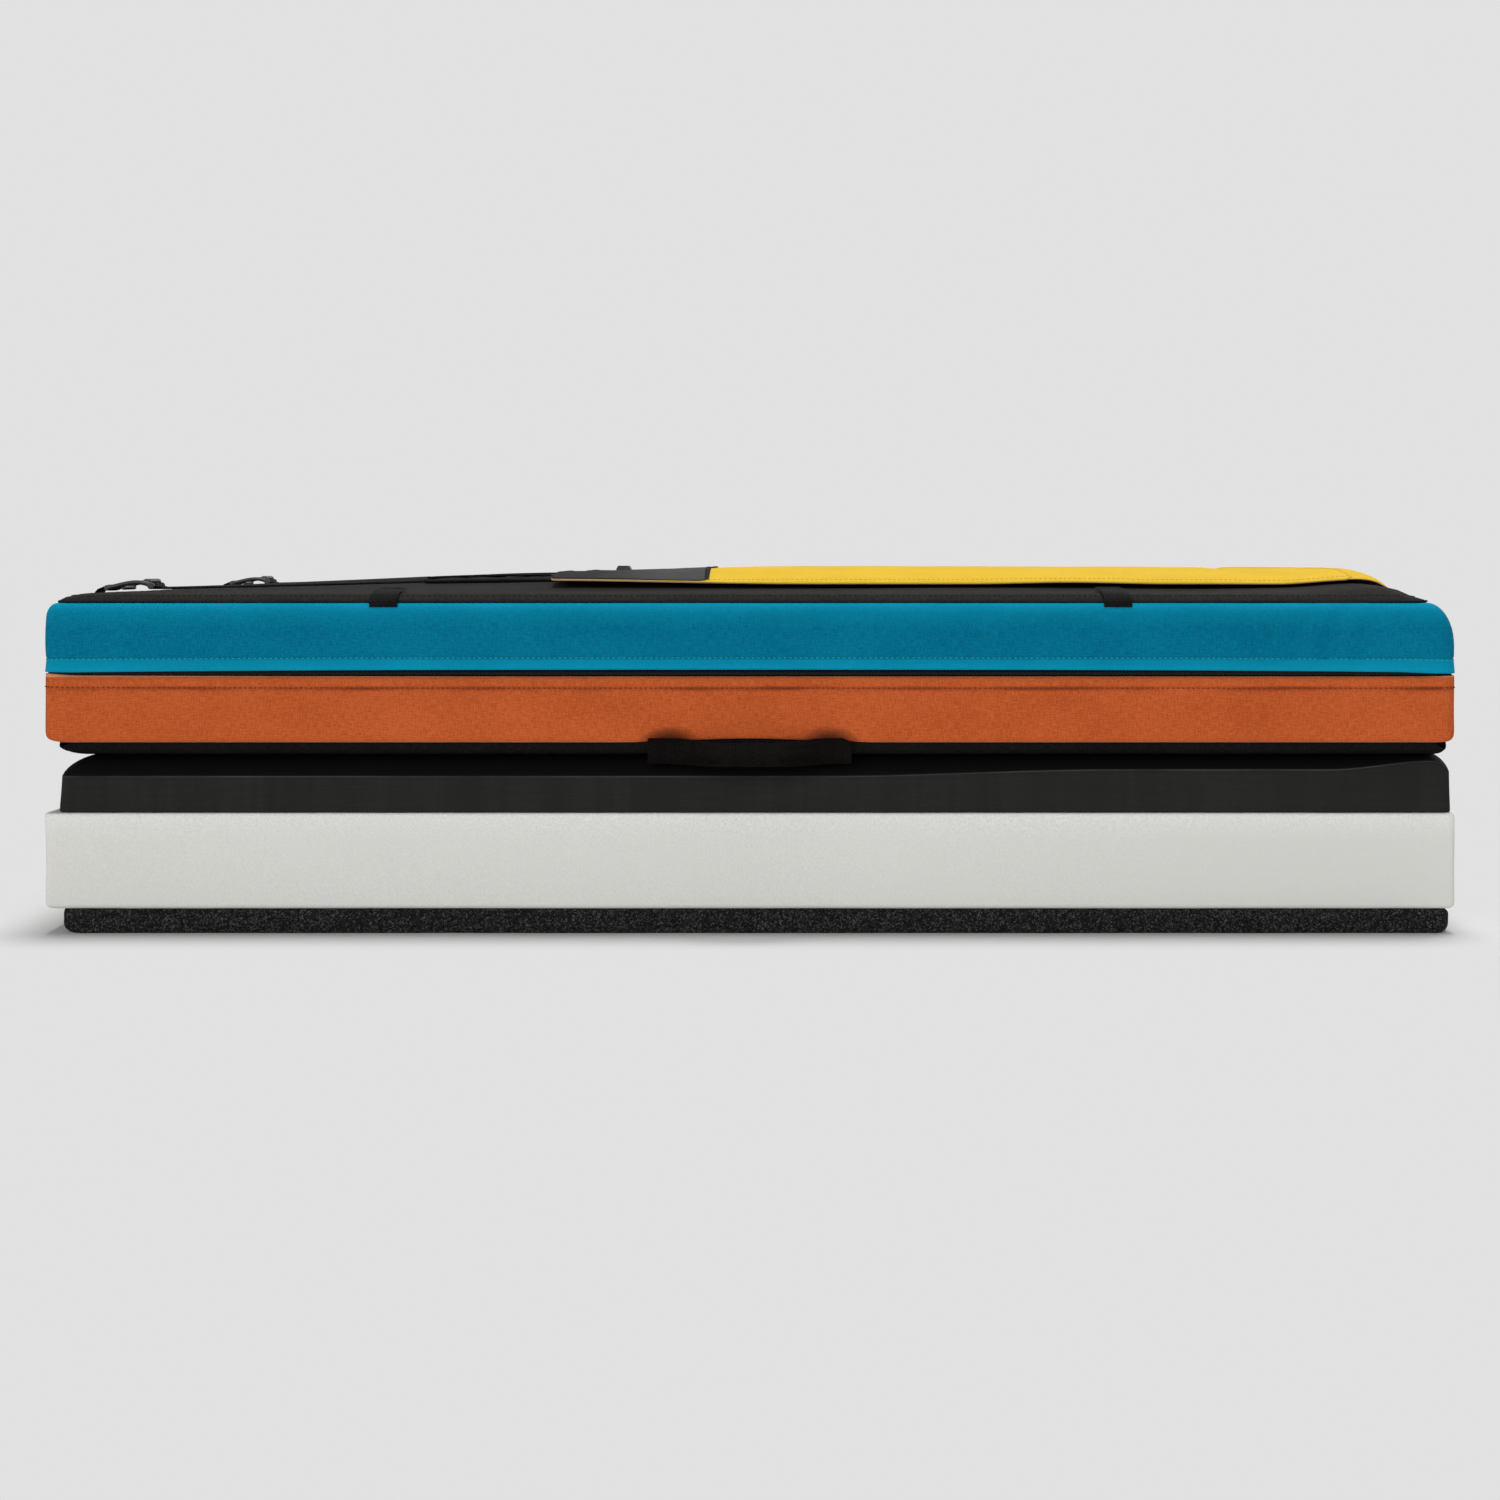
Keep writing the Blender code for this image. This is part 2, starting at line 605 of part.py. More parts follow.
def ground_panel():
    x0, x1, y0, y1 = panel_box()
    xs = spread(x0, x1, PANEL_EDGE_REACH, PANEL_EDGE_REACH, ROUND_STEPS, 16)
    ys = spread(y0, y1, PANEL_EDGE_REACH, PANEL_EDGE_REACH, ROUND_STEPS, 12)
    radius = COVER_CORNER - TEAL_TURN_FRONT
    sheet("ground_panel", "black_fabric", xs, ys, panel_top, lambda x, y: panel_top(x, y) - CLOTH, radius)


def landing_insets():
    return (ORANGE_TURN_LEFT, ORANGE_TURN_RIGHT, ORANGE_TURN_FRONT, ORANGE_TURN_FRONT)


def landing_bottom(x, y):
    reach = (LANDING_PANEL_ROUND_LEFT, LANDING_PANEL_ROUND, LANDING_PANEL_ROUND)
    rim = LANDING_RIM - FIT - CLOTH
    return CONTACT_Z + rim * (1 - edge_share(landing_insets(), reach, x, y))


def landing_panel():
    left, right, front, rear = landing_insets()
    xs = spread(LEFT_X + left, RIGHT_X - right, LANDING_PANEL_ROUND_LEFT, LANDING_PANEL_ROUND, ROUND_STEPS, 4)
    ys = spread(FRONT_Y + front, REAR_Y - rear, LANDING_PANEL_ROUND, LANDING_PANEL_ROUND, ROUND_STEPS, 4)
    radius = COVER_CORNER - ORANGE_TURN_FRONT
    sheet("landing_panel", "black_fabric", xs, ys, lambda x, y: landing_bottom(x, y) + CLOTH, landing_bottom, radius)


def filling():
    """The upper half's foams, squeezed a little by their cover."""
    ground_z = panel_top(0, MID_Y) - CLOTH - FILL_EASE - GROUND_FOAM
    core_z = ground_z - CORE_FOAM
    corner = COVER_CORNER - FILL_SIDE
    bottom_left = LEFT_X + ORANGE_TURN_LEFT + LANDING_PANEL_ROUND_LEFT
    bottom_right = RIGHT_X - ORANGE_TURN_RIGHT - LANDING_PANEL_ROUND
    inward = ORANGE_TURN_FRONT + LANDING_PANEL_ROUND
    sheet(
        "upper_landing_foam",
        "dark_foam",
        even(bottom_left, bottom_right, 1),
        even(FRONT_Y + inward, REAR_Y - inward, 1),
        lambda x, y: core_z - FIT,
        lambda x, y: CONTACT_Z + CLOTH + SLACK,
    )
    sheet(
        "upper_core_foam",
        "white_foam",
        spread(LEFT_X + FILL_SIDE, RIGHT_X - FILL_RIGHT, corner, corner, 3, 1),
        spread(FRONT_Y + FILL_SIDE, REAR_Y - FILL_SIDE, corner, corner, 3, 1),
        lambda x, y: ground_z - FIT,
        lambda x, y: core_z,
        corner,
    )
    xs = spread(LEFT_X + FILL_TOP_LEFT, RIGHT_X - FILL_TOP_RIGHT, PANEL_EDGE_REACH, PANEL_EDGE_REACH, 3, 10)
    ys = spread(FRONT_Y + FILL_TOP_LEFT, REAR_Y - FILL_TOP_LEFT, PANEL_EDGE_REACH, PANEL_EDGE_REACH, 3, 8)
    sheet(
        "upper_ground_foam",
        "rebonded_foam",
        xs,
        ys,
        lambda x, y: panel_top(x, y) - CLOTH - FILL_EASE,
        lambda x, y: ground_z,
    )


def fold():
    """The two leaves that the halves fold on. The lower leaf ends in a roll on the axis of the fold."""
    low, high = LEFT_X + LEAF_END, RIGHT_X - LEAF_END
    leaf_y = REAR_Y + FIT + CLOTH / 2
    upper = [(leaf_y, FOLD_Z + LEAF_TO_ROLL), (leaf_y, FOLD_Z + LEAF_HEIGHT)]
    ribbon("upper_hinge_leaf", "black_fabric", upper, CLOTH, low, high, across="x")
    lower = [
        (leaf_y, FOLD_Z - LEAF_HEIGHT),
        (leaf_y, FOLD_Z - 2 * FOLD_ROLL),
        (leaf_y + FOLD_CLEARANCE / 2, FOLD_Z - CLOTH),
        (FOLD_Y, FOLD_Z - CLOTH / 2),
    ]
    leaf = ribbon("", "", lower, CLOTH, low, high, across="x", made=bmesh.new())
    roll = prism(bmesh.new(), circle(FOLD_Y, FOLD_Z, FOLD_ROLL, ROD_SIDES), low - CLOTH, high + CLOTH, along_x)
    united("lower_hinge_leaf", "black_fabric", [leaf, roll], (0, FOLD_Y, FOLD_Z))


# Straps and their adjusters


def rail_line(share):
    """A point on a buckle rail's middle line, from the anchor bar at 0 to the threading bar at 1."""
    x = BUCKLE_BAR_X + BUCKLE_LENGTH * share
    z = BUCKLE_BAR_Z + BUCKLE_DROP * share + BUCKLE_ARCH * math.sin(math.pi * share) ** 0.8
    return x, z


def thread_bar():
    return rail_line(1)


def ladderlock(side_name, side):
    middle = strap_middle(BUCKLE_BAR_X, side)
    inner = STRAP_WEBBING_WIDTH / 2 + BUCKLE_SIDE_GAP
    outer = inner + BUCKLE_RAIL_WIDTH
    pieces = []
    for y0, y1 in ((middle - outer, middle - inner), (middle + inner, middle + outer)):
        path = [rail_line(k / BEND_STEPS) for k in range(BEND_STEPS + 1)]
        pieces.append(ribbon("", "", path, BUCKLE_RAIL, y0, y1, made=bmesh.new()))
        pieces.append(prism(bmesh.new(), circle(*rail_line(0), BUCKLE_BOSS, ROD_SIDES), y0, y1, along_y))
        pieces.append(prism(bmesh.new(), circle(*rail_line(1), BUCKLE_END, ROD_SIDES), y0, y1, along_y))
    reach = outer - BUCKLE_RAIL_WIDTH / 2
    foot_x, foot_z = rail_line(FOOT_BAR_SHARE)
    bars = (
        (rail_line(0), BUCKLE_BAR_RADIUS),
        (thread_bar(), THREAD_BAR_RADIUS),
        ((foot_x, foot_z - FOOT_BAR_DROP), FOOT_BAR_RADIUS),
    )
    for (x, z), radius in bars:
        pieces.append(prism(bmesh.new(), circle(x, z, radius, ROD_SIDES), middle - reach, middle + reach, along_y))
    lip_x, lip_z = rail_line(LIP_SHARE)
    lip_z += LIP_RISE
    lip = [(lip_x - LIP_LENGTH / 2, lip_z), (lip_x, lip_z + LIP_THICKNESS / 4), (lip_x + LIP_LENGTH / 2, lip_z)]
    pieces.append(ribbon("", "", lip, LIP_THICKNESS, middle - reach, middle + reach, made=bmesh.new()))
    origin = (BUCKLE_BAR_X, middle, BUCKLE_BAR_Z)
    return united(side_name + "_ladderlock", "buckle_plastic", pieces, origin)


def anchor_webbing(side_name, side):
    """Webbing from the end seam, up and once round the anchor bar."""
    middle = strap_middle(BUCKLE_BAR_X, side)
    radius = BUCKLE_BAR_RADIUS + FIT + ANCHOR_WEBBING / 2
    outside = LEFT_X + ANCHOR_WEBBING / 2
    path = [
        (outside, SEAM_Z - ANCHOR_FOOT_DROP),
        (outside, BUCKLE_BAR_Z - ANCHOR_BULGE),
        (outside + ANCHOR_BULGE / 2, BUCKLE_BAR_Z - ANCHOR_BULGE / 4),
    ]
    path += circle(BUCKLE_BAR_X, BUCKLE_BAR_Z, radius, BEND_STEPS, 125, -270)
    half = STRAP_WEBBING_WIDTH / 2
    name = side_name + "_anchor_webbing"
    return ribbon(name, "black_webbing", path, ANCHOR_WEBBING, middle - half, middle + half)


def strap_loop(side_name, side):
    """Webbing round the threading bar, both ends of it leading to the strap."""
    middle = strap_middle(BUCKLE_BAR_X, side)
    bar_x, bar_z = thread_bar()
    radius = THREAD_BAR_RADIUS + FIT + LOOP_WEBBING / 2
    end_x = STRAP_START_X - FIT
    low = bar_z - radius
    high = low + LOOP_WEBBING + LOOP_END_GAP
    path = [(end_x, low)] + circle(bar_x, bar_z, radius, BEND_STEPS, 270, -210) + [(end_x, high)]
    half = STRAP_WEBBING_WIDTH / 2
    origin = (BUCKLE_BAR_X, middle, BUCKLE_BAR_Z)
    name = side_name + "_strap_loop"
    return ribbon(name, "black_webbing", path, LOOP_WEBBING, middle - half, middle + half, origin=origin)


def strap_webbing(side_name, side):
    half = STRAP_WEBBING_WIDTH / 2

    def place(x, y):
        return x, strap_middle(x, side) + y

    def bottom(x, y):
        return panel_top(x, y) + SLACK

    xs = even(STRAP_START_X, PAD_START_X - FIT, 12)
    ys = even(-half, half, 2)
    sheet(
        side_name + "_strap_webbing",
        "black_webbing",
        xs,
        ys,
        lambda x, y: bottom(x, y) + STRAP_WEBBING,
        bottom,
        place=place,
    )


def shoulder_pad(side_name, side):
    half = SHOULDER_PAD_WIDTH / 2

    def place(x, y):
        return x, strap_middle(x, side) + y

    def bottom(x, y):
        return panel_top(x, y) + SLACK

    def top(x, y):
        length = quarter((x - PAD_START_X) / SHOULDER_PAD_TAPER)
        crown = SHOULDER_PAD_TIP + (SHOULDER_PAD - SHOULDER_PAD_TIP) * length * quarter(
            (PAD_END_X - x) / (SHOULDER_PAD_TAPER / 4)
        )
        off = abs(y - strap_middle(x, side)) / half
        return bottom(x, y) + SHOULDER_PAD_EDGE + (crown - SHOULDER_PAD_EDGE) * (1 - off**2.5)

    xs = spread(PAD_START_X, PAD_END_X, SHOULDER_PAD_TAPER, SHOULDER_PAD_TAPER / 4, 4, 14)
    ys = even(-half, half, 8)
    sheet(side_name + "_shoulder_pad", "strap_mesh", xs, ys, top, bottom, SHOULDER_PAD_EDGE * 2, place)


def strap_top_band():
    """Webbing sewn down across the pads' top ends."""
    low = PAD_END_X + FIT
    reach = STRAP_SPREAD_TOP + SHOULDER_PAD_WIDTH / 2 + TOP_BAND_OVERHANG
    sheet(
        "strap_top_band",
        "black_webbing",
        even(low, low + TOP_BAND_WIDTH, 3),
        even(MID_Y - reach, MID_Y + reach, 8),
        lambda x, y: panel_top(x, y) + SLACK + TOP_BAND,
        lambda x, y: panel_top(x, y) + SLACK,
    )


# Flap


def flap_lines(x0, x1, side):
    xs = spread(x0, x1, FLAP_CURL_REACH, FLAP_SEWN_REACH, 5, 9)
    half = FLAP_WIDTH / 2 - side
    ys = spread(MID_Y - half, MID_Y + half, FLAP_DOME_REACH, FLAP_DOME_REACH, 5, 8)
    return xs, ys


def flap_axis():
    x = FLAP_END_X + FLAP_HINGE_GAP / 2
    return x, MID_Y, panel_top(x, MID_Y) + FLAP_EDGE_LIFT + FLAP_CLOTH / 2


def flap():
    xs, ys = flap_lines(FLAP_START_X, FLAP_END_X, 0)
    sheet("flap", "yellow_fabric", xs, ys, flap_top, flap_bottom, FLAP_CORNER, origin=flap_axis())
    half = FLAP_WIDTH / 2 - PATCH_SIDE
    sheet(
        "flap_patch",
        "patch_fabric",
        even(PATCH_START_X, PATCH_START_X + PATCH_LENGTH, 12),
        spread(MID_Y - half, MID_Y + half, FLAP_DOME_REACH, FLAP_DOME_REACH, 8, 8),
        lambda x, y: flap_top(x, y) + SLACK + PATCH_CLOTH,
        lambda x, y: flap_top(x, y) + SLACK,
        origin=flap_axis(),
    )
    start = FLAP_END_X + FLAP_HINGE_GAP
    half = FLAP_WIDTH / 2
    sheet(
        "flap_seam_strip",
        "yellow_fabric",
        even(start, start + SEAM_STRIP_WIDTH, 3),
        spread(MID_Y - half, MID_Y + half, PANEL_CROWN_FRONT, PANEL_CROWN_FRONT, 6, 4),
        lambda x, y: panel_top(x, y) + SLACK + SEAM_STRIP,
        lambda x, y: panel_top(x, y) + SLACK,
    )


def hold_strap_height(x):
    """Height of the hold-down strap's underside: on the panel, up to the flap's edge, then on the patch."""
    on_panel = panel_top(x, MID_Y) + SLACK
    edge_x = FLAP_START_X - HOLD_STRAP
    on_patch = flap_top(max(x, FLAP_START_X), MID_Y) + 2 * SLACK + PATCH_CLOTH
    land_end = HOLD_STRAP_START_X + HOLD_STRAP_LAND
    rise = smooth((x - land_end) / (edge_x - land_end))
    return on_panel + (on_patch - on_panel) * rise if x < edge_x else on_patch


def hold_strap():
    half = HOLD_STRAP_WIDTH / 2
    xs = even(HOLD_STRAP_START_X, FLAP_START_X - HOLD_STRAP, 12) + even(FLAP_START_X, HOLD_STRAP_END_X, 8)
    path = [(x, hold_strap_height(x) + HOLD_STRAP / 2) for x in xs]
    ribbon("hold_strap", "black_webbing", path, HOLD_STRAP, MID_Y - half, MID_Y + half, origin=flap_axis())
    length, height = SLIDER_LENGTH / 2, SLIDER_HEIGHT
    base = flap_top(SLIDER_X + length, MID_Y + SLIDER_WIDTH / 2) + 2 * SLACK + PATCH_CLOTH
    outline = [
        (SLIDER_X - length, base),
        (SLIDER_X + length, base),
        (SLIDER_X + length, base + height / 2),
        (SLIDER_X + length - SLIDER_EDGE, base + height),
        (SLIDER_X - length + SLIDER_EDGE, base + height),
        (SLIDER_X - length, base + height / 2),
    ]
    body = prism(bmesh.new(), outline, MID_Y - SLIDER_WIDTH / 2, MID_Y + SLIDER_WIDTH / 2, along_y)
    block = finish("hold_strap_slider", "buckle_plastic", body, flap_axis())
    cutter_top = hold_strap_height(SLIDER_X) + HOLD_STRAP + SLACK
    slot = half + FIT
    overrun = SLIDER_LENGTH
    outline = [
        (SLIDER_X - overrun, base - overrun),
        (SLIDER_X + overrun, base - overrun),
        (SLIDER_X + overrun, cutter_top),
        (SLIDER_X - overrun, cutter_top),
    ]
    cutter = finish("slider_slot", "buckle_plastic", prism(bmesh.new(), outline, MID_Y - slot, MID_Y + slot, along_y))
    cutter.hide_render = True
    cutter.display_type = "WIRE"
    cut = block.modifiers.new("slot", "BOOLEAN")
    cut.operation = "DIFFERENCE"
    cut.object = cutter
    end = HOLD_STRAP_START_X - FIT
    xs = even(end - HOLD_ANCHOR_LENGTH, end, 4)
    path = [(x, panel_top(x, MID_Y) + SLACK + HOLD_STRAP / 2) for x in xs]
    ribbon("hold_strap_anchor", "black_webbing", path, HOLD_STRAP, MID_Y - half, MID_Y + half)


# Link tabs and carry handle


def link_tab(name, x):
    """Flat webbing down the panel's front slope and a little way over the seam."""
    half = TAB_WIDTH / 2
    start = FRONT_Y + TEAL_TURN_FRONT
    lift = SLACK + TAB_WEBBING / 2
    ys = [start + TAB_RUN * (1 - math.cos(math.pi / 2 * k / 8)) for k in range(9)][:0:-1]
    path = [(y, panel_top(x, y) + lift) for y in ys]
    face = FRONT_Y - FIT - TAB_WEBBING / 2
    path.append((start, SEAM_Z + FIT + CLOTH + PANEL_EDGE_RISE / 4 + lift))
    path.append((face, SEAM_Z + FIT))
    path.append((face, SEAM_Z - TAB_DROP))
    ribbon(name, "black_webbing", path, TAB_WEBBING, x - half, x + half, across="x")


def handle_section(made, x):
    """One cross-section of the handle: webbing that bows out and leans as it leaves the wall."""
    bow = smooth((HANDLE_ROOT - abs(x)) / HANDLE_RUN)
    lean = math.radians(HANDLE_TILT) * bow
    y = FRONT_Y - FIT - HANDLE_WEBBING / 2 - HANDLE_BOW * bow
    z = HANDLE_Z - HANDLE_SAG * bow
    up = Vector((math.sin(lean), math.cos(lean))) * (HANDLE_WIDTH / 2)
    out = Vector((-math.cos(lean), math.sin(lean))) * (HANDLE_WEBBING / 2)
    corners = (up + out, up - out, -up - out, -up + out)
    return [made.verts.new((x, y + corner.x, z + corner.y)) for corner in corners]


def handle_piece(name, xs, origin=None):
    made = bmesh.new()
    rings = [handle_section(made, x) for x in xs]
    for start, end in zip(rings, rings[1:]):
        for k in range(4):
            made.faces.new((start[k - 1], start[k], end[k], end[k - 1]))
    made.faces.new(rings[0])
    made.faces.new(rings[-1][::-1])
    return finish(name, "black_webbing", made, origin)


def carry_handle():
    grip = HANDLE_FREE_HALF
    ends = [grip + FIT + (HANDLE_ROOT - grip - FIT) * k / 5 for k in range(6)] + [HANDLE_HALF]
    handle_piece("handle_left_end", [-x for x in ends[::-1]])
    handle_piece("handle_right_end", ends)
    axis = (0, FRONT_Y, HANDLE_Z)
    handle_piece("handle_grip", even(-grip, grip, 16), axis)


# Zip sliders


def zip_slider(side_name, side):
    """A slider on the closed zip: a plate on the coil, and a boss that the pull tab turns on."""
    face = RIGHT_X + HEM_FLARE + FIT
    outside = face + PLATE_THICKNESS
    axis_x = outside + PULL_AXIS_OUT
    y = REAR_Y - SLIDER_REST
    long, tall = PLATE_LENGTH / 2, PLATE_HEIGHT / 2
    nose = tall * PLATE_NOSE_SHARE
    outline = [
        (y - long, ZIP_Z - tall),
        (y + long - nose, ZIP_Z - tall),
        (y + long, ZIP_Z - nose),
        (y + long, ZIP_Z + nose),
        (y + long - nose, ZIP_Z + tall),
        (y - long, ZIP_Z + tall),
    ]
    plate = prism(bmesh.new(), outline, *sorted((side * face, side * outside)), along_x)
    root = side * (outside - PLATE_THICKNESS / 2)
    tip = circle(0, y, BOSS_RADIUS, 9, -90, 180)
    outline = [(root, y - BOSS_RADIUS)] + [(side * (axis_x + a), b) for a, b in tip] + [(root, y + BOSS_RADIUS)]
    boss = prism(bmesh.new(), outline, ZIP_Z - BOSS_HEIGHT / 2, ZIP_Z + BOSS_HEIGHT / 2, along_z)
    united(side_name + "_zip_slider", "zip_metal", [plate, boss], (side * outside, y, ZIP_Z))
    half, slot = PULL_WIDTH / 2, SLOT_HEIGHT / 2
    slot_end = y - BOSS_RADIUS - FIT
    end = y - PULL_LENGTH
    outline = [
        (y + TINE, ZIP_Z + slot),
        (slot_end, ZIP_Z + slot),
        (slot_end, ZIP_Z - slot),
        (y + TINE, ZIP_Z - slot),
        (y + TINE, ZIP_Z - half / 2 - slot / 2),
        (y - TINE, ZIP_Z - half),
        (end + half / 2, ZIP_Z - half),
        (end, ZIP_Z - half / 2),
        (end, ZIP_Z + half / 2),
        (end + half / 2, ZIP_Z + half),
        (y - TINE, ZIP_Z + half),
        (y + TINE, ZIP_Z + half / 2 + slot / 2),
    ]
    inner, outer = axis_x - PULL_THICKNESS / 2, axis_x + PULL_THICKNESS / 2
    tab = prism(bmesh.new(), outline, *sorted((side * inner, side * outer)), along_x)
    finish(side_name + "_pull_tab", "zip_metal", tab, (side * axis_x, y, ZIP_Z))


def main():
    for old in list(bpy.data.objects):
        bpy.data.objects.remove(old)
    lower_foams()
    cover_walls()
    zip_line()
    ground_panel()
    landing_panel()
    filling()
    fold()
    for side_name, side in (("near", NEAR), ("far", FAR)):
        ladderlock(side_name, side)
        anchor_webbing(side_name, side)
        strap_loop(side_name, side)
        strap_webbing(side_name, side)
        shoulder_pad(side_name, side)
    strap_top_band()
    flap()
    hold_strap()
    link_tab("left_link_tab", LEFT_X + TAB_LEFT_IN)
    link_tab("right_link_tab", RIGHT_X - TAB_RIGHT_IN)
    carry_handle()
    zip_slider("left", LEFT)
    zip_slider("right", RIGHT)
    print("fold axis", FOLD_Y, FOLD_Z)
    print("flap axis", flap_axis())
    print("front", FRONT_Y, "rear", REAR_Y)


main()
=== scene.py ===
"""Dresses the folded crash pad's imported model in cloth, foam, webbing, stitches and fittings, and lights it.

Metres, +Z up. X runs along the pad's long front side and -Y is the front.
"""

import math
import random

import bpy
import numpy as np
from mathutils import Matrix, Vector


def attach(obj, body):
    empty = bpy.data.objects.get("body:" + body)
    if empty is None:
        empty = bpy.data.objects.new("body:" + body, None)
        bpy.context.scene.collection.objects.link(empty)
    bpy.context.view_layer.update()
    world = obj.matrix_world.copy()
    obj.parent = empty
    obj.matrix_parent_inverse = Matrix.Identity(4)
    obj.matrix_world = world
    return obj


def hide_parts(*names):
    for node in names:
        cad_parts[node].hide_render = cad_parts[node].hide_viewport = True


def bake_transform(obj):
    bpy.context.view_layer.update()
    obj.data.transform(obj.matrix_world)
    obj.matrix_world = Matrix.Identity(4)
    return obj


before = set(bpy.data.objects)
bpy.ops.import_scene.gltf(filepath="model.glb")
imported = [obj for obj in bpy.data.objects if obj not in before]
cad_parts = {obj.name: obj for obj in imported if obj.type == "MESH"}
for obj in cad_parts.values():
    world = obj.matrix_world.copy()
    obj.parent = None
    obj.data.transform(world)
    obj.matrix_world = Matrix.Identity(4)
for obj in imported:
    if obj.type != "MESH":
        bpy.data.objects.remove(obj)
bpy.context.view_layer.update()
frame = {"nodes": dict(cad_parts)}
nodes = frame["nodes"]

# Sizes of the pad, as in its source
LEFT_X, RIGHT_X = -0.5, 0.5
FRONT_Y, REAR_Y = -0.313010, 0.336990
MID_Y = (FRONT_Y + REAR_Y) / 2
CORNER = 0.0105
END_BULGE = 0.0012
CLOTH = 0.0012
FIT = 0.0003
SLACK = 0.0006

GROUND_FOAM, CORE_FOAM, LANDING_FOAM = 0.0175, 0.0683, 0.0409
LANDING_Z = GROUND_FOAM + CORE_FOAM
CONTACT_Z = LANDING_Z + LANDING_FOAM
ORANGE_Z = CONTACT_Z + 0.0088
ORANGE_TOP_Z = ORANGE_Z + 0.0474
TEAL_Z = ORANGE_TOP_Z + 0.0039
SEAM_Z = TEAL_Z + 0.0479
ORANGE_BAND, TEAL_BAND = ORANGE_TOP_Z - ORANGE_Z, SEAM_Z - TEAL_Z
ZIP_Z = (ORANGE_TOP_Z + TEAL_Z) / 2
HEM = 0.0082
# The orange band's crease, as a share of the way up the band
CREASE = 0.82
FOLD_Y, FOLD_Z = 0.340490, 0.126550
PANEL_BOX = (LEFT_X + 0.0063, RIGHT_X - 0.0167, FRONT_Y + 0.0020, REAR_Y - 0.0020)

FLAP_START_X, FLAP_END_X = -0.1480, 0.4480
ROOT_START_X, ROOT_END_X = 0.4440, 0.4790
FLAP_WIDTH = 0.5100
FLAP_CLOTH, PATCH_CLOTH, ROOT_CLOTH = 0.0014, 0.0006, 0.0008
PATCH_START_X, PATCH_END_X = -0.1476, -0.0320
STRAP_WIDTH, TAPE_WIDTH = 0.0250, 0.0200
STRAP_START_X, STRAP_END_X = -0.4500, -0.2503
PAD_START_X, PAD_END_X = -0.2500, 0.4180
PAD_WIDTH = 0.0680
TOP_BAND_LENGTH = 0.338
BAR_X, BAR_Z = -0.4890, 0.2442
HANDLE_X, HANDLE_GRIP_X, HANDLE_Z = 0.0720, 0.0400, 0.1297
HANDLE_WEBBING = 0.0018
LANDING_EDGE_Z = CONTACT_Z - 0.0153
# Where the dark layer's rounded edge gets thinner along the front: from, to, and by how much
THIN_EDGE = ((0.05, 0.26, 0.0048), (0.41, 0.486, 0.0062), (0.4865, 0.5000, -0.0085))

NEAR, FAR = -1, 1

# Threads set along a line: the pitch, then a thread's length, width and height
HEM_STITCH = (0.0038, 0.0025, 0.0009, 0.0007)
CREASE_STITCH = (0.0036, 0.0023, 0.0010, 0.0007)
PANEL_STITCH = (0.0038, 0.0026, 0.0009, 0.0008)
LEAF_STITCH = (0.0040, 0.0027, 0.0009, 0.0008)
BAND_STITCH = (0.0034, 0.0024, 0.0009, 0.0006)
FLAP_STITCH = (0.0034, 0.0024, 0.0009, 0.0007)
FLAP_HEM_STITCH = (0.0036, 0.0024, 0.0009, 0.0007)
BOX_STITCH = (0.0030, 0.0022, 0.0008, 0.0006)
ZIGZAG = (0.0022, 0.0050, 0.0010, 0.0009)
OVERLOCK = (0.0021, 0.0026, 0.0018, 0.0014)
PAD_BINDING = (0.0016, 0.0021, 0.0034, 0.0030)
ZIP_COIL = (0.0013, 0.0010, 0.0033, 0.0012)
HANDLE_RIB = (0.0017, 0.0011, 0.0172, 0.0006)


# Node trees


def operator(operation, swapped=False):
    """A method that adds a Math node, for a value and a number or another value."""

    def add_node(self, other=0.0):
        first, second = (other, self) if swapped else (self, other)
        return self.nodes.node("ShaderNodeMath", {"operation": operation}, {0: first, 1: second})

    return add_node


class Value:
    """A socket of a tree. A sum with a number or with another one adds a Math node."""

    def __init__(self, nodes, socket):
        self.nodes, self.socket = nodes, socket

    __add__ = __radd__ = operator("ADD")
    __mul__ = __rmul__ = operator("MULTIPLY")
    __sub__ = operator("SUBTRACT")
    __rsub__ = operator("SUBTRACT", swapped=True)
    __pow__ = operator("POWER")
    __mod__ = operator("FLOORED_MODULO")
    __gt__ = operator("GREATER_THAN")
    __lt__ = operator("LESS_THAN")
    __abs__ = operator("ABSOLUTE")
    sine = operator("SINE")
    above_zero = operator("MAXIMUM")


class Nodes:
    """Makes the nodes of one tree."""

    def __init__(self, tree):
        self.tree = tree

    def node(self, kind, settings=None, sockets=None, out=0):
        """Adds a node, with its settings, then its sockets' values or links. Returns its output out."""
        made = self.tree.nodes.new(kind)
        for name, value in (settings or {}).items():
            if name == "stops":
                ramp = made.color_ramp.elements
                while len(ramp) < len(value):
                    ramp.new(0.5)
                for stop, (place, colour) in zip(ramp, value):
                    stop.position = place
                    stop.color = (*colour, 1.0)
            else:
                setattr(made, name, value)
        for name, value in (sockets or {}).items():
            if isinstance(value, Value):
                self.tree.links.new(value.socket, made.inputs[name])
            else:
                made.inputs[name].default_value = value
        return Value(self, made.outputs[out])

    def seen(self):
        """1 for a ray that shows the thing, straight or in something glossy or clear, and 0 for its light."""
        rays = self.tree.nodes.new("ShaderNodeLightPath").outputs
        kinds = ("Camera", "Glossy", "Transmission")
        camera, glossy, clear = (Value(self, rays[f"Is {kind} Ray"]) for kind in kinds)
        return camera + glossy + clear


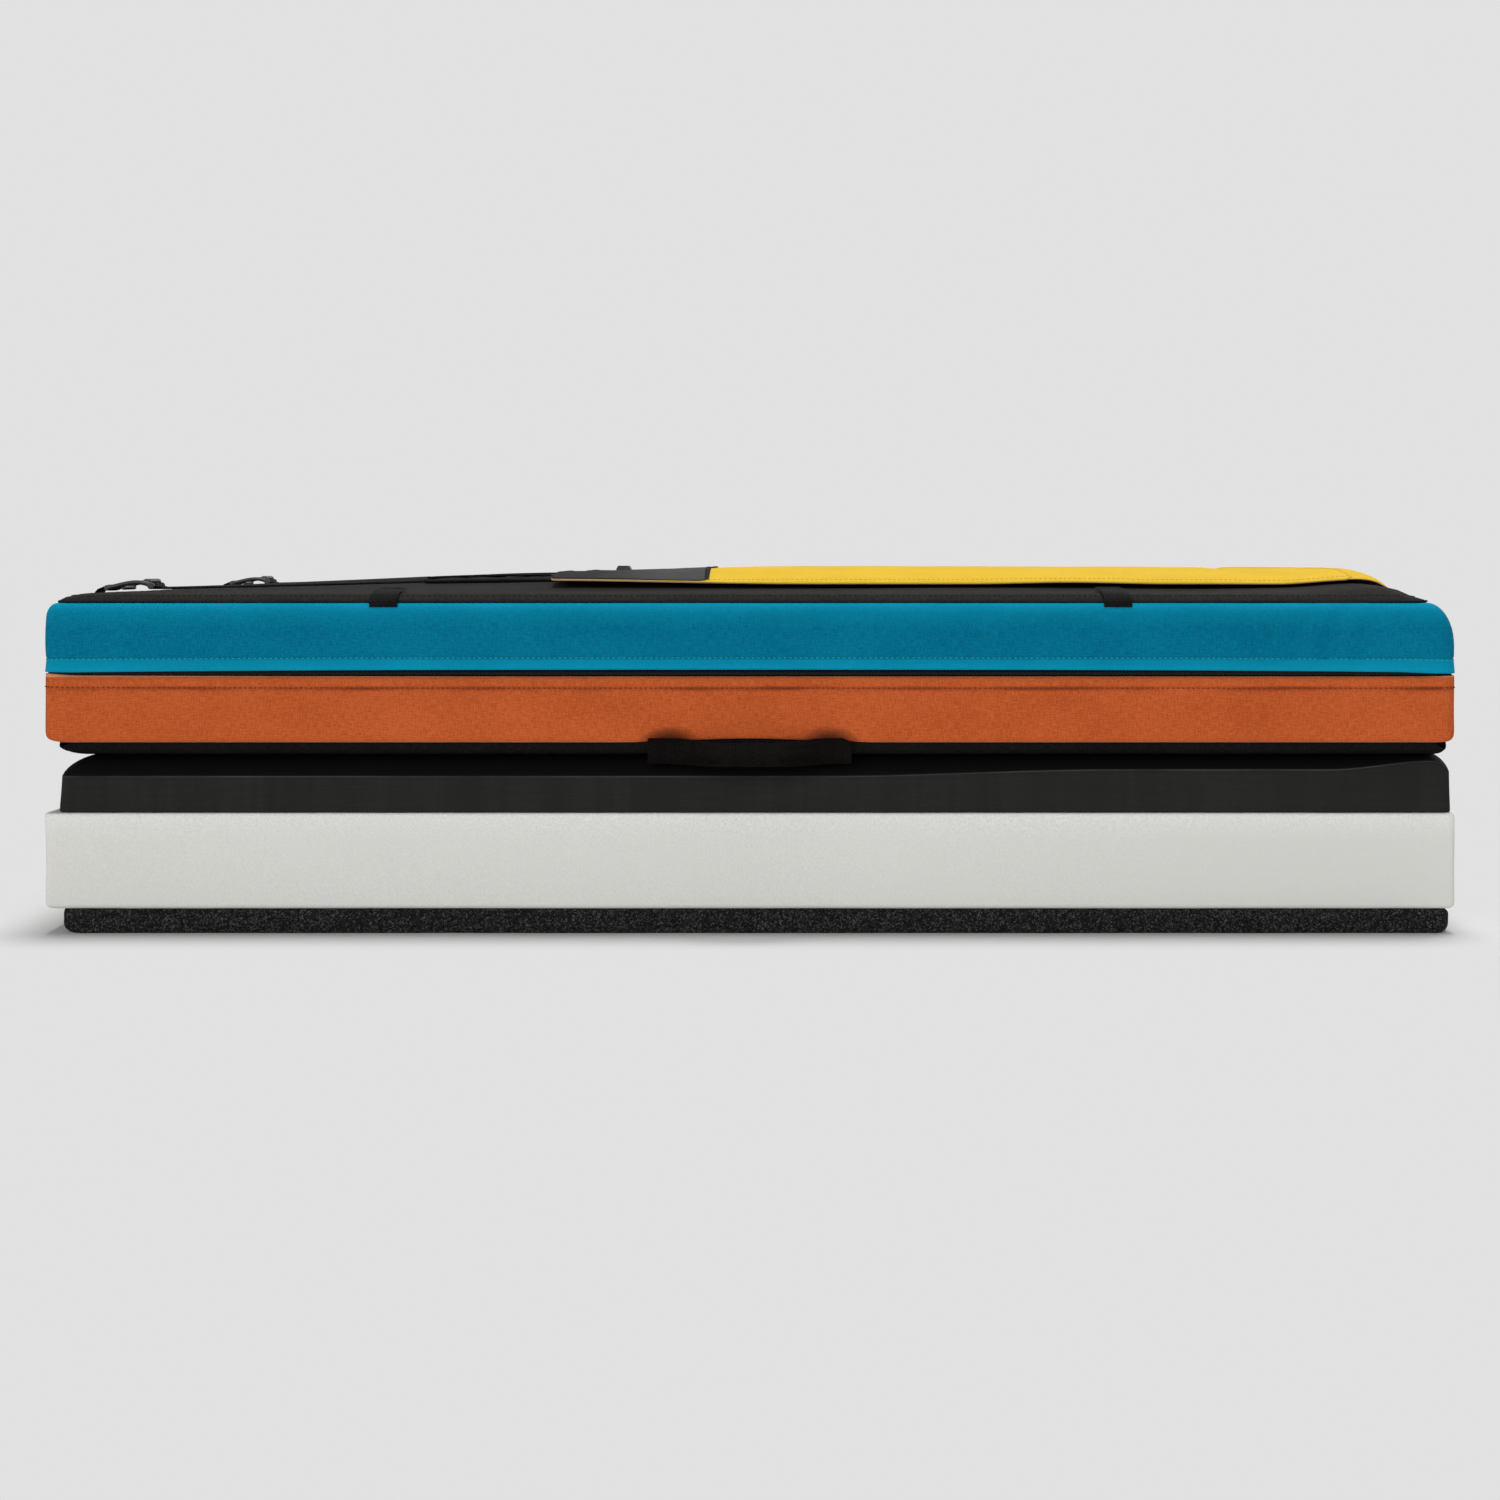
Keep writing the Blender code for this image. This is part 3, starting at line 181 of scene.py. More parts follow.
class Finish(Nodes):
    """A procedural material in the making. Constants are the shader's own socket values."""

    def __init__(self, name, **constants):
        self.material = bpy.data.materials.new(name)
        self.material.use_nodes = True
        super().__init__(self.material.node_tree)
        self.shader = self.tree.nodes["Principled BSDF"]
        for socket, value in constants.items():
            self.shader.inputs[socket.replace("_", " ")].default_value = value

    def place(self):
        """The point in the pad's own frame, in metres."""
        return self.node("ShaderNodeTexCoord", out="Object")

    def cloth_place(self):
        """The point along and across the cloth's threads, in metres."""
        return self.node("ShaderNodeUVMap", {"uv_map": "threads"})

    def along(self, place, axis):
        """One of the three numbers of a place or a colour."""
        return self.node("ShaderNodeSeparateXYZ", sockets={0: place}, out=axis)

    def noise(self, place, pace, detail):
        """Noise from 0 to 1 whose pace, in features to the metre, may be unlike along the three axes."""
        pace = pace if isinstance(pace, tuple) else (pace, pace, pace)
        moved = self.node("ShaderNodeMapping", sockets={"Vector": place, "Scale": pace})
        sockets = {"Vector": moved, "Scale": 1.0, "Detail": detail, "Roughness": 0.6}
        return self.node("ShaderNodeTexNoise", sockets=sockets)

    def slubs(self, place):
        """The thick and thin stretches of the threads along the cloth, and of those across it."""
        return self.noise(place, (170, 1150, 1), 2.0), self.noise(place, (1150, 170, 1), 2.0)

    def cells(self, place, pace, out="Distance"):
        """Cells at a pace to the metre: the distance from a cell's middle, or each cell's random colour."""
        return self.node("ShaderNodeTexVoronoi", sockets={"Vector": place, "Scale": pace}, out=out)

    def step(self, value, low, high, end, start=0.0):
        """A smooth step of a value, from start below low to end above high."""
        sockets = {0: value, 1: low, 2: high, 3: start, 4: end}
        return self.node("ShaderNodeMapRange", {"interpolation_type": "SMOOTHSTEP"}, sockets)

    def ramp(self, factor, *stops):
        """A colour from stops, each a place from 0 to 1 with its colour."""
        return self.node("ShaderNodeValToRGB", {"stops": stops}, {0: factor})

    def mix(self, factor, first, second):
        """The first colour at factor 0, the second at 1."""
        first, second = (c if isinstance(c, Value) else (*c, 1.0) for c in (first, second))
        settings = {"data_type": "RGBA", "clamp_factor": True}
        return self.node("ShaderNodeMix", settings, {0: factor, 6: first, 7: second}, 2)

    def feed(self, socket, value):
        """Links a value to one of the shader's sockets."""
        self.tree.links.new(value.socket, self.shader.inputs[socket])

    def bump(self, height, depth):
        """Raises the surface by height, from 0 to 1, times a depth in metres."""
        sockets = {"Height": height, "Distance": depth, "Strength": 1.0}
        self.feed("Normal", self.node("ShaderNodeBump", sockets=sockets))


# Finishes


def plain_weave(name, dark, light, depth=0.00022, slub=1.9, shaded_by_handle=False, worn=()):
    """Coated plain-weave cloth: crossing slubs, a faint cloudiness and the weave's own relief.

    It may carry painted shade by the handle, and painted highlights and shade in bands at heights given as
    stops between two heights.
    """
    made = Finish(name, Roughness=0.82, Specular_IOR_Level=0.04)
    place = made.cloth_place()
    long_slubs, cross_slubs = made.slubs(place)
    cloud = made.noise(place, (14, 22, 1), 2.0)
    grain = made.noise(place, (1500, 1500, 1), 1.0)
    share = 0.5 + (long_slubs + cross_slubs + grain - 1.5) * slub + (cloud - 0.5) * 0.9
    colour = made.mix(share, dark, light)
    # Painted highlights and painted shade: each band tints the cloth lighter or darker between two heights
    for low, high, tint, broken, stops in worn:
        share = (made.along(made.place(), 2) - low) * (1 / (high - low))
        amount = made.ramp(share, *((stop, (amount,) * 3) for stop, amount in stops))
        uneven = (made.noise(place, (14, 60, 1), 4.0) - 0.5) * broken + 1.0
        colour = made.mix(made.along(amount, 0) * uneven, colour, tint)
    # Painted shade round the handle's sewn ends, where the cloth puckers
    if shaded_by_handle:
        colour = made.mix(handle_shade_spots(made), colour, (0.020, 0.009, 0.006))
    made.feed("Base Color", colour)
    thread_pace = math.pi / 0.0009
    warp = (made.along(place, 0) * thread_pace).sine()
    weft = (made.along(place, 1) * thread_pace).sine()
    weave = warp * weft * 0.5 + 0.5
    made.bump(weave * 0.7 + long_slubs * 0.6 + cross_slubs * 0.6, depth)
    return made.material


def handle_shade_spots(made):
    """How much painted shade darkens the front: two spots round the places where the handle's free middle
    starts, where the cloth puckers.
    """
    spot = made.place()
    spot_x, spot_z, half_width, half_height = 0.0565, ORANGE_Z + 0.0010, 0.022, 0.0115
    aside = (abs(abs(made.along(spot, 0)) - spot_x) * (1 / half_width)) ** 2
    above = (abs(made.along(spot, 2) - spot_z) * (1 / half_height)) ** 2
    ahead = made.along(spot, 1) < FRONT_Y + 0.02
    return (1 - (aside + above) * (made.noise(spot, 90, 2.0) + 0.6)) * ahead * 0.85


def patch_weave():
    """The patch's coated cloth: black at its free end, greyer towards the flap's middle."""
    made = Finish("patch_fabric_look", Roughness=0.80, Specular_IOR_Level=0.05)
    spot = made.place()
    # The patch turns from black to grey between these two places along it
    black_to, grey_from = -0.125, -0.060
    uneven = (made.noise(spot, 30, 2.0) - 0.5) * 0.03
    grey_share = made.step(made.along(spot, 0) + uneven, black_to, grey_from, 1.0)
    long_slubs, cross_slubs = made.slubs(made.cloth_place())
    slubs = long_slubs + cross_slubs
    tone = made.mix(grey_share, (0.0100, 0.0100, 0.0105), (0.0540, 0.0540, 0.0550))
    made.feed("Base Color", made.mix((slubs - 0.8) * 0.6, tone, (0.0980, 0.0980, 0.0995)))
    made.bump(slubs, 0.00022)
    return made.material


def open_foam():
    """White open-cell foam, mottled and porous: warmer at its left end, darker at its right, with a painted
    highlight over its top.
    """
    made = Finish("white_foam_look", Roughness=0.95, Specular_IOR_Level=0.15)
    place = made.place()
    x, z = made.along(place, 0), made.along(place, 2)
    mottle = made.noise(place, (18, 18, 30), 4.0)
    pores = made.noise(place, 900, 2.0)
    tone = made.mix(mottle, (0.755, 0.768, 0.724), (0.824, 0.832, 0.790))
    tone = made.mix(made.step(x, LEFT_X, LEFT_X + 0.16, 0.0, start=0.75), tone, (0.780, 0.735, 0.675))
    tone = made.mix(made.step(x, 0.05, RIGHT_X, 0.8), tone, (0.648, 0.658, 0.619))
    # Painted highlight: the sides are painted paler towards the top, where the light falls most
    tone = made.mix(made.step(z, LANDING_Z - 0.022, LANDING_Z, 0.85), tone, (0.965, 0.970, 0.938))
    made.feed("Base Color", made.mix((pores - 0.30) * 1.4, (0.660, 0.668, 0.630), tone))
    made.bump(pores + made.cells(place, 420) * 0.6, 0.0003)
    return made.material


def closed_foam():
    """Dark closed-cell foam, mottled and streaked: painted shade makes it black above its front edge, and a
    painted highlight runs pale along that edge.
    """
    made = Finish("dark_foam_look", Specular_IOR_Level=0.06)
    place = made.place()
    mottle = made.noise(place, (10, 10, 26), 4.0)
    lines = made.noise(place, (30, 30, 1400), 2.0)
    streaks = made.noise(place, (60, 60, 5), 3.0)
    skin_grain = made.noise(place, 700, 2.0)
    tone = made.mix(mottle, (0.0130, 0.0132, 0.0120), (0.0205, 0.0205, 0.0186))
    tone = made.mix(lines - 0.5 + (streaks - 0.5) * 1.4 + 0.1, tone, (0.0275, 0.0275, 0.0250))
    # Painted shade: above the front edge, in the gap under the upper half, the foam is painted near black
    above = made.along(place, 2) - LANDING_EDGE_Z
    for start, end, rise in THIN_EDGE:
        above = above - made.step(made.along(place, 0), start, end, rise)
    tone = made.mix(above > 0.0, tone, (0.0030, 0.0030, 0.0031))
    # Painted highlight: a pale line along the front edge, where it catches the light
    worn = 1 - abs(above + 0.0002) * (1 / 0.0007)
    tone = made.mix(worn * (made.noise(place, 14, 3.0) * 2.2 - 0.5), tone, (0.062, 0.064, 0.060))
    made.feed("Base Color", tone)
    made.feed("Roughness", skin_grain * 0.25 + 0.62)
    made.bump(lines * 0.7 + skin_grain + made.noise(place, 90, 2.0) * 2.0, 0.00025)
    return made.material


def speckled_foam():
    """Rebonded foam: crumbs of a few millimetres in blacks and greys, with a few pale ones."""
    made = Finish("rebonded_foam_look", Roughness=0.93, Specular_IOR_Level=0.05)
    place = made.place()
    bent = made.noise(place, 300, 2.0) * 0.0010
    shifted = made.node("ShaderNodeVectorMath", {"operation": "ADD"}, {0: place, 1: bent})
    crumb_pace, small_pace = 780, 1400
    crumb = made.along(made.cells(shifted, crumb_pace, "Color"), 0)
    small = made.along(made.cells(shifted, small_pace, "Color"), 1)
    tone = made.ramp(
        crumb,
        (0.0, (0.0070, 0.0068, 0.0068)),
        (0.45, (0.0130, 0.0125, 0.0125)),
        (0.78, (0.0230, 0.0220, 0.0215)),
        (0.95, (0.0450, 0.0430, 0.0420)),
        (1.0, (0.0750, 0.0720, 0.0690)),
    )
    tone = made.mix((small > 0.90) * 0.7, tone, (0.095, 0.091, 0.088))
    tone = made.mix((small < 0.25) * 0.7, tone, (0.0050, 0.0050, 0.0052))
    made.feed("Base Color", tone)
    pits = 1 - made.cells(shifted, crumb_pace)
    made.bump(crumb * 0.8 + pits + made.noise(place, 1200, 1.0) * 0.5, 0.0004)
    return made.material


def ribbed_webbing(name, dark, light, pick=0.0021, columns=0.0042):
    """Ribbed webbing: rounded picks across it, in long columns, with worn high threads."""
    made = Finish(name, Specular_IOR_Level=0.07)
    place = made.cloth_place()
    column = (made.along(place, 1) * (math.tau / columns)).sine()
    picks = (made.along(place, 0) * (math.tau / pick) + column * 1.4).sine() * 0.5 + 0.5
    fibres = made.noise(place, (2600, 500, 1), 2.0)
    wear = made.noise(place, (60, 60, 1), 3.0)
    made.feed("Base Color", made.mix(picks * 0.45 + fibres * 0.5 + (wear - 0.6) * 0.8, dark, light))
    made.feed("Roughness", 0.88 - picks * 0.18)
    made.bump(picks + column * 0.25 + fibres * 0.5, 0.00045)
    return made.material


def spacer_mesh():
    """Knitted mesh over the shoulder pads: rows of small round holes."""
    made = Finish("strap_mesh_look", Roughness=0.85, Specular_IOR_Level=0.06)
    place = made.cloth_place()
    pace = math.tau / 0.0034
    u, v = made.along(place, 0) * pace, made.along(place, 1) * pace
    holes = (u + v).sine() * (u - v).sine() * 0.5 + 0.5
    soft = made.noise(place, (500, 500, 1), 2.0)
    share = holes * 1.3 - 0.35 + (soft - 0.5) * 0.4
    made.feed("Base Color", made.mix(share, (0.0030, 0.0030, 0.0033), (0.0260, 0.0260, 0.0270)))
    made.bump(holes + soft * 0.3, 0.0006)
    return made.material


def moulded_plastic(name, dark, light, roughness=0.38):
    """Moulded nylon: a faint orange peel and a little handling shine."""
    made = Finish(name, Specular_IOR_Level=0.35)
    place = made.place()
    handled = made.noise(place, 60, 3.0)
    made.feed("Base Color", made.mix(handled, dark, light))
    made.feed("Roughness", roughness + handled * 0.2)
    made.bump(made.noise(place, 1500, 2.0), 0.00012)
    return made.material


def enamel():
    """Dark enamelled metal, worn brighter in places."""
    made = Finish("zip_metal_look", Metallic=0.85)
    place = made.place()
    worn = made.noise(place, 260, 4.0)
    made.feed("Base Color", made.mix((worn - 0.5) * 3.0, (0.050, 0.050, 0.053), (0.230, 0.225, 0.220)))
    made.feed("Roughness", 0.30 + worn * 0.25)
    made.bump(made.noise(place, 2200, 1.0), 0.00005)
    return made.material


def thread(name, dark, light):
    """Sewing thread with its twist."""
    made = Finish(name, Roughness=0.7, Specular_IOR_Level=0.1)
    twist = made.noise(made.place(), 2600, 1.0)
    made.feed("Base Color", made.mix(twist, dark, light))
    made.bump(twist, 0.0001)
    return made.material


# Painted light and shade on the bands, highlights along edges and hems and shade in a crease: between two
# heights, a tint, how broken it is, and its share at stops between them
# Painted highlight on the teal band: paler over its hem and towards its top seam, where the light catches it
TEAL_HIGHLIGHT_STOPS = ((0.0, 0.55), (0.155, 0.45), (0.172, 0.02), (0.62, 0.0), (0.84, 0.20), (1.0, 0.62))
# Painted shade: darker along the orange band's crease, where the cloth puckers
CREASE_SHADE_STOPS = ((0.0, 0.0), (0.76, 0.0), (0.805, 0.50), (0.83, 0.40), (0.86, 0.0), (1.0, 0.0))
# Painted highlight: thin pale lines along the orange band's bottom and top edges
EDGE_HIGHLIGHT_STOPS = ((0.0, 0.55), (0.022, 0.0), (0.976, 0.0), (0.988, 0.50), (1.0, 0.50))
TEAL_HIGHLIGHTS = ((TEAL_Z, SEAM_Z, (0.0040, 0.360, 0.560), 0.8, TEAL_HIGHLIGHT_STOPS),)
# Painted shade in the orange band's crease and painted highlights along its two edges
ORANGE_SHADE_AND_HIGHLIGHTS = (
    (ORANGE_Z, ORANGE_TOP_Z, (0.150, 0.022, 0.008), 5.0, CREASE_SHADE_STOPS),
    (ORANGE_Z, ORANGE_TOP_Z, (0.800, 0.420, 0.240), 1.5, EDGE_HIGHLIGHT_STOPS),
)

# The darker and the lighter tone of each woven cloth, webbing and plastic
BLACK = ((0.0121, 0.0116, 0.0110), (0.0275, 0.0257, 0.0243))
# Painted shade: a darker copy of the black cloth, for the landing panel in the shade between the halves
SHADED_BLACK = ((0.0030, 0.0028, 0.0027), (0.0100, 0.0092, 0.0088))
TEAL = ((0.0000, 0.120, 0.212), (0.0008, 0.190, 0.310))
ORANGE = ((0.400, 0.073, 0.016), (0.600, 0.125, 0.036))
YELLOW = ((0.715, 0.446, 0.029), (0.848, 0.570, 0.056))
TAN = ((0.420, 0.260, 0.150), (0.600, 0.400, 0.250))
WORN_BLACK = ((0.0022, 0.0021, 0.0021), (0.0140, 0.0132, 0.0128))
# Painted shade: a darker copy of the strap webbing, for the handle hanging in the shade between the halves
SHADED_HANDLE_BLACK = ((0.0012, 0.0009, 0.0008), (0.0090, 0.0066, 0.0056))
TAPE_BLACK = ((0.0015, 0.0015, 0.0018), (0.0060, 0.0060, 0.0066))
BUCKLE_BLACK = ((0.0140, 0.0142, 0.0150), (0.0330, 0.0335, 0.0350))
TEETH_BLACK = ((0.0022, 0.0023, 0.0027), (0.0055, 0.0056, 0.0062))

LOOKS = {
    "rebonded_foam": speckled_foam(),
    "white_foam": open_foam(),
    "dark_foam": closed_foam(),
    "black_fabric": plain_weave("black_fabric_look", *BLACK, depth=0.0003),
    # The landing panel's black cloth, painted darker as painted shade
    "shaded_landing_fabric": plain_weave("shaded_landing_fabric_look", *SHADED_BLACK, depth=0.0003),
    "teal_fabric": plain_weave("teal_fabric_look", *TEAL, worn=TEAL_HIGHLIGHTS),
    "orange_fabric": plain_weave("orange_fabric_look", *ORANGE, shaded_by_handle=True, worn=ORANGE_SHADE_AND_HIGHLIGHTS),
    "yellow_fabric": plain_weave("yellow_fabric_look", *YELLOW, slub=0.8),
    "flap_lining": plain_weave("flap_lining_look", *TAN, slub=0.8),
    "patch_fabric": patch_weave(),
    "black_webbing": ribbed_webbing("black_webbing_look", *WORN_BLACK),
    # The handle's webbing, painted darker as painted shade
    "shaded_handle_webbing": ribbed_webbing("shaded_handle_webbing_look", *SHADED_HANDLE_BLACK),
    "strap_mesh": spacer_mesh(),
    "zip_black": ribbed_webbing("zip_tape_look", *TAPE_BLACK, pick=0.0012, columns=0.0020),
    "buckle_plastic": moulded_plastic("buckle_plastic_look", *BUCKLE_BLACK),
    "zip_teeth": moulded_plastic("zip_teeth_look", *TEETH_BLACK, roughness=0.5),
    "zip_metal": enamel(),
    "seam_thread": thread("seam_thread_look", (0.0020, 0.0035, 0.0060), (0.0080, 0.0120, 0.0170)),
    "teal_thread": thread("teal_thread_look", (0.010, 0.260, 0.350), (0.045, 0.400, 0.500)),
    "orange_thread": thread("orange_thread_look", (0.110, 0.020, 0.007), (0.240, 0.050, 0.016)),
    "black_thread": thread("black_thread_look", (0.0120, 0.0120, 0.0125), (0.0330, 0.0330, 0.0340)),
    "yellow_thread": thread("yellow_thread_look", (0.520, 0.330, 0.030), (0.800, 0.540, 0.080)),
}


# Geometry trees


def path_tree():
    """Threads or bars set along a path: each lies along the path, its back to the path's own 'up'."""
    tree = bpy.data.node_groups.new("set_along_path", "GeometryNodeTree")
    sizes = dict.fromkeys(("Pitch", "Length", "Width", "Height", "Slant"), "Float")
    for name, kind in {"Path": "Geometry", **sizes, "Bars": "Bool", "Finish": "Material"}.items():
        tree.interface.new_socket(name, in_out="INPUT", socket_type="NodeSocket" + kind)
    tree.interface.new_socket("Geometry", in_out="OUTPUT", socket_type="NodeSocketGeometry")
    add = Nodes(tree)
    entry = tree.nodes.new("NodeGroupInput")
    given = {socket.name: Value(add, socket) for socket in entry.outputs if socket.name}
    line = add.node("GeometryNodeMeshToCurve", sockets={"Mesh": given["Path"]})
    sockets = {"Curve": line, "Length": given["Pitch"]}
    spaced = add.node("GeometryNodeResampleCurve", {"mode": "LENGTH"}, sockets)
    up = add.node("GeometryNodeInputNamedAttribute", {"data_type": "FLOAT_VECTOR"}, {"Name": "up"})
    sockets = {"Vector": add.node("GeometryNodeInputTangent")}
    lying = add.node("FunctionNodeAlignRotationToVector", {"axis": "X"}, sockets)
    settings = {"axis": "Z", "pivot_axis": "X"}
    facing = add.node("FunctionNodeAlignRotationToVector", settings, {"Rotation": lying, "Vector": up})
    side = (add.node("GeometryNodeInputIndex") % 2) * 2 - 1
    sockets = {"Axis": (0, 0, 1), "Angle": given["Slant"] * side}
    turn = add.node("FunctionNodeAxisAngleToRotation", sockets=sockets)
    sockets = {"Rotation": facing, "Rotate By": turn}
    turned = add.node("FunctionNodeRotateRotation", {"rotation_space": "LOCAL"}, sockets)
    ball = add.node("GeometryNodeMeshUVSphere", sockets={"Segments": 6, "Rings": 5, "Radius": 0.5})
    rod = add.node("GeometryNodeMeshCylinder", sockets={"Vertices": 8, "Radius": 0.5, "Depth": 1.0})
    rod = add.node("GeometryNodeTransform", sockets={"Geometry": rod, "Rotation": (math.pi / 2, 0, 0)})
    sockets = {"Switch": given["Bars"], "False": ball, "True": rod}
    shape = add.node("GeometryNodeSwitch", {"input_type": "GEOMETRY"}, sockets)
    sockets = {0: given["Length"], 1: given["Width"], 2: given["Height"]}
    size = add.node("ShaderNodeCombineXYZ", sockets=sockets)
    shape = add.node("GeometryNodeTransform", sockets={"Geometry": shape, "Scale": size})
    sockets = {"Points": spaced, "Instance": shape, "Rotation": turned}
    placed = add.node("GeometryNodeInstanceOnPoints", sockets=sockets)
    solid = add.node("GeometryNodeRealizeInstances", sockets={"Geometry": placed})
    coloured = add.node("GeometryNodeSetMaterial", sockets={"Geometry": solid, "Material": given["Finish"]})
    leave = tree.nodes.new("NodeGroupOutput")
    tree.links.new(coloured.socket, leave.inputs["Geometry"])
    return tree


PATH_TREE = path_tree()


def link(name, mesh):
    """An object of this mesh, light or camera, put into the scene."""
    piece = bpy.data.objects.new(name, mesh)
    bpy.context.scene.collection.objects.link(piece)
    return piece


def applied(rough, name):
    """A piece with a rough one's mesh, its modifiers applied. The rough one is removed."""
    depsgraph = bpy.context.evaluated_depsgraph_get()
    mesh = bpy.data.meshes.new_from_object(rough.evaluated_get(depsgraph), depsgraph=depsgraph)
    bpy.data.objects.remove(rough)
    mesh.shade_smooth()
    mesh.name = name
    return link(name, mesh)


def set_along(name, lines, look, sizes, slant=0.0, bars=False):
    """One plain mesh of threads or bars along lines. A line is its points, its 'up' and whether it closes."""
    points, edges, ups = [], [], []
    for spots, up, closed in lines:
        first = len(points)
        points += [tuple(p) for p in spots]
        ups += [tuple(u) for u in np.broadcast_to(up, (len(spots), 3))]
        edges += [(first + k, first + k + 1) for k in range(len(spots) - 1)]
        if closed:
            edges.append((len(points) - 1, first))
    mesh = bpy.data.meshes.new(name + "_path")
    mesh.from_pydata(points, edges, [])
    facing = mesh.attributes.new("up", "FLOAT_VECTOR", "POINT")
    facing.data.foreach_set("vector", np.array(ups, np.float32).ravel())
    path = link(name + "_path", mesh)
    grown = path.modifiers.new("grown", "NODES")
    grown.node_group = PATH_TREE
    values = dict(zip(("Pitch", "Length", "Width", "Height"), sizes))
    values.update(Slant=slant, Bars=bars, Finish=LOOKS[look])
    for socket in PATH_TREE.interface.items_tree:
        if socket.name in values:
            grown[socket.identifier] = values[socket.name]
    return applied(path, name)


# Shape helpers


def quarter(t):
    """Height of a quarter ellipse over the share t of its reach."""
    return np.sqrt(1 - (1 - np.clip(t, 0, 1)) ** 2)


def smooth(t):
    """A smooth step from 0 at t 0 to 1 at t 1."""
    t = np.clip(t, 0, 1)
    return t * t * (3 - 2 * t)


def waves(x, y, size, seed):
    """Unevenness of about -1 to 1: crossing waves about size metres long."""
    dice = random.Random(seed)
    count, total = 11, 0
    for _ in range(count):
        turn, phase = dice.uniform(0, math.tau), dice.uniform(0, math.tau)
        pace = math.tau / (size * dice.uniform(0.7, 1.7))
        total = total + np.sin(pace * (x * math.cos(turn) + y * math.sin(turn)) + phase)
    return total / (1.3 * math.sqrt(count))


def distances(points):
    """How far along a line each of its points lies."""
    return np.concatenate([[0], np.cumsum(np.linalg.norm(np.diff(points, axis=0), axis=1))])


def arc(centre, radius, angles):
    """Points about a centre, at angles in degrees."""
    x, y = centre
    return [(x + radius * math.cos(math.radians(a)), y + radius * math.sin(math.radians(a))) for a in angles]


def thicken(piece, thickness, rim_look=None):
    """Gives a cloth its thickness, on its inner side. Its lining and rim may have a look of their own."""
    wall = piece.modifiers.new("thickness", "SOLIDIFY")
    wall.thickness = thickness
    wall.offset = -1
    if rim_look:
        piece.data.materials.append(LOOKS[rim_look])
        wall.material_offset = wall.material_offset_rim = 1


def skin(name, grid, look, closed=False, flip=False, caps=False, thickness=0.0, rim_look=None):
    """A surface over rows of points, with a map of its threads in metres."""
    grid = np.asarray(grid, float)
    rows, columns = grid.shape[:2]
    along = distances(np.concatenate([grid, grid[:, :1]], axis=1)[rows // 2])
    across = distances(grid[:, columns // 2])
    faces, places = [], []
    for i in range(rows - 1):
        for j in range(columns if closed else columns - 1):
            corners = [(i, j), (i, j + 1), (i + 1, j + 1), (i + 1, j)]
            if flip:
                corners.reverse()
            faces.append([row * columns + column % columns for row, column in corners])
            places += [(along[column], across[row]) for row, column in corners]
    spots = grid.reshape(-1, 3)
    if caps:
        ends = [list(range(columns))[::-1], [(rows - 1) * columns + j for j in range(columns)]]
        faces += ends
        places += [tuple(spots[index][:2]) for end in ends for index in end]
    mesh = bpy.data.meshes.new(name)
    mesh.from_pydata(spots.tolist(), [], faces)
    mesh.uv_layers.new(name="threads").uv.foreach_set("vector", np.array(places, np.float32).ravel())
    mesh.materials.append(LOOKS[look])
    mesh.shade_smooth()
    piece = link(name, mesh)
    if thickness:
        thicken(piece, thickness, rim_look)
    return piece


def settle(piece, slot, *replaced, body="upper_half", flat=None, held=None, rests_on=None):
    """Lets a finished piece move with its body, and stand for its CAD nodes, which it hides.

    Its slot, and a sheet's flat size, the way that it is held and what it rests on, are not used.
    """
    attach(piece, body)
    if replaced:
        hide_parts(*replaced)


def sew(name, lines, look, sizes, slot, *replaced, body="upper_half", slant=0.0, bars=False):
    """Sets threads or bars along lines, as one finished piece."""
    settle(set_along(name, lines, look, sizes, slant, bars), slot, *replaced, body=body)


def outline(insets, radius):
    """The pad's plan outline, counter-clockwise from its right front corner, with a fixed count of points."""
    left, right, front, rear = insets
    x0, x1 = LEFT_X + left + radius, RIGHT_X - right - radius
    y0, y1 = FRONT_Y + front + radius, REAR_Y - rear - radius
    centres = [(x1, y0), (x1, y1), (x0, y1), (x0, y0)]
    pitch, corner_steps = 0.0055, 7
    long, short = round(1.0 / pitch), round(0.65 / pitch)
    points = []
    for number, count in enumerate((short, long, short, long)):
        start = 90 * (number - 1)
        bend = arc(centres[number], radius, [start + 90 * k / corner_steps for k in range(corner_steps)])
        corners = (centres[number], centres[(number + 1) % 4])
        ends = [arc(corner, radius, [start + 90])[0] for corner in corners]
        points += [bend, np.linspace(*ends, count, endpoint=False)]
    return np.concatenate(points)


def outward(points):
    """Unit normals of a closed plan outline, away from its inside."""
    along = np.roll(points, -1, axis=0) - np.roll(points, 1, axis=0)
    along /= np.linalg.norm(along, axis=1, keepdims=True)
    return np.stack([along[:, 1], -along[:, 0]], axis=1)


def wall_rows(levels, radius, push=None):
    """Rows of a wall round the pad. push says how far a point at x, y, z stands out and is lifted."""
    rows = []
    for z, insets in levels:
        spots = outline(insets, radius)
        heights = np.full(len(spots), z)
        if push:
            out, lift = push(spots[:, 0], spots[:, 1], z)
            spots = spots + outward(spots) * np.broadcast_to(out, len(spots))[:, None]
            heights = heights + lift
        rows.append(np.column_stack([spots, heights]))
    return np.array(rows)


def face_window(x, y, centre, half):
    """1 near a place on the front wall, falling smoothly to 0 half a window away."""
    return (1 - smooth(np.abs(x - centre) / half)) * (y < FRONT_Y + 0.03)


def turned(reach, height, rise):
    """How far a wall has turned in at a rise over the start of its rounding."""
    return reach * (1 - np.sqrt(1 - np.clip(rise / height, 0, 1) ** 2))


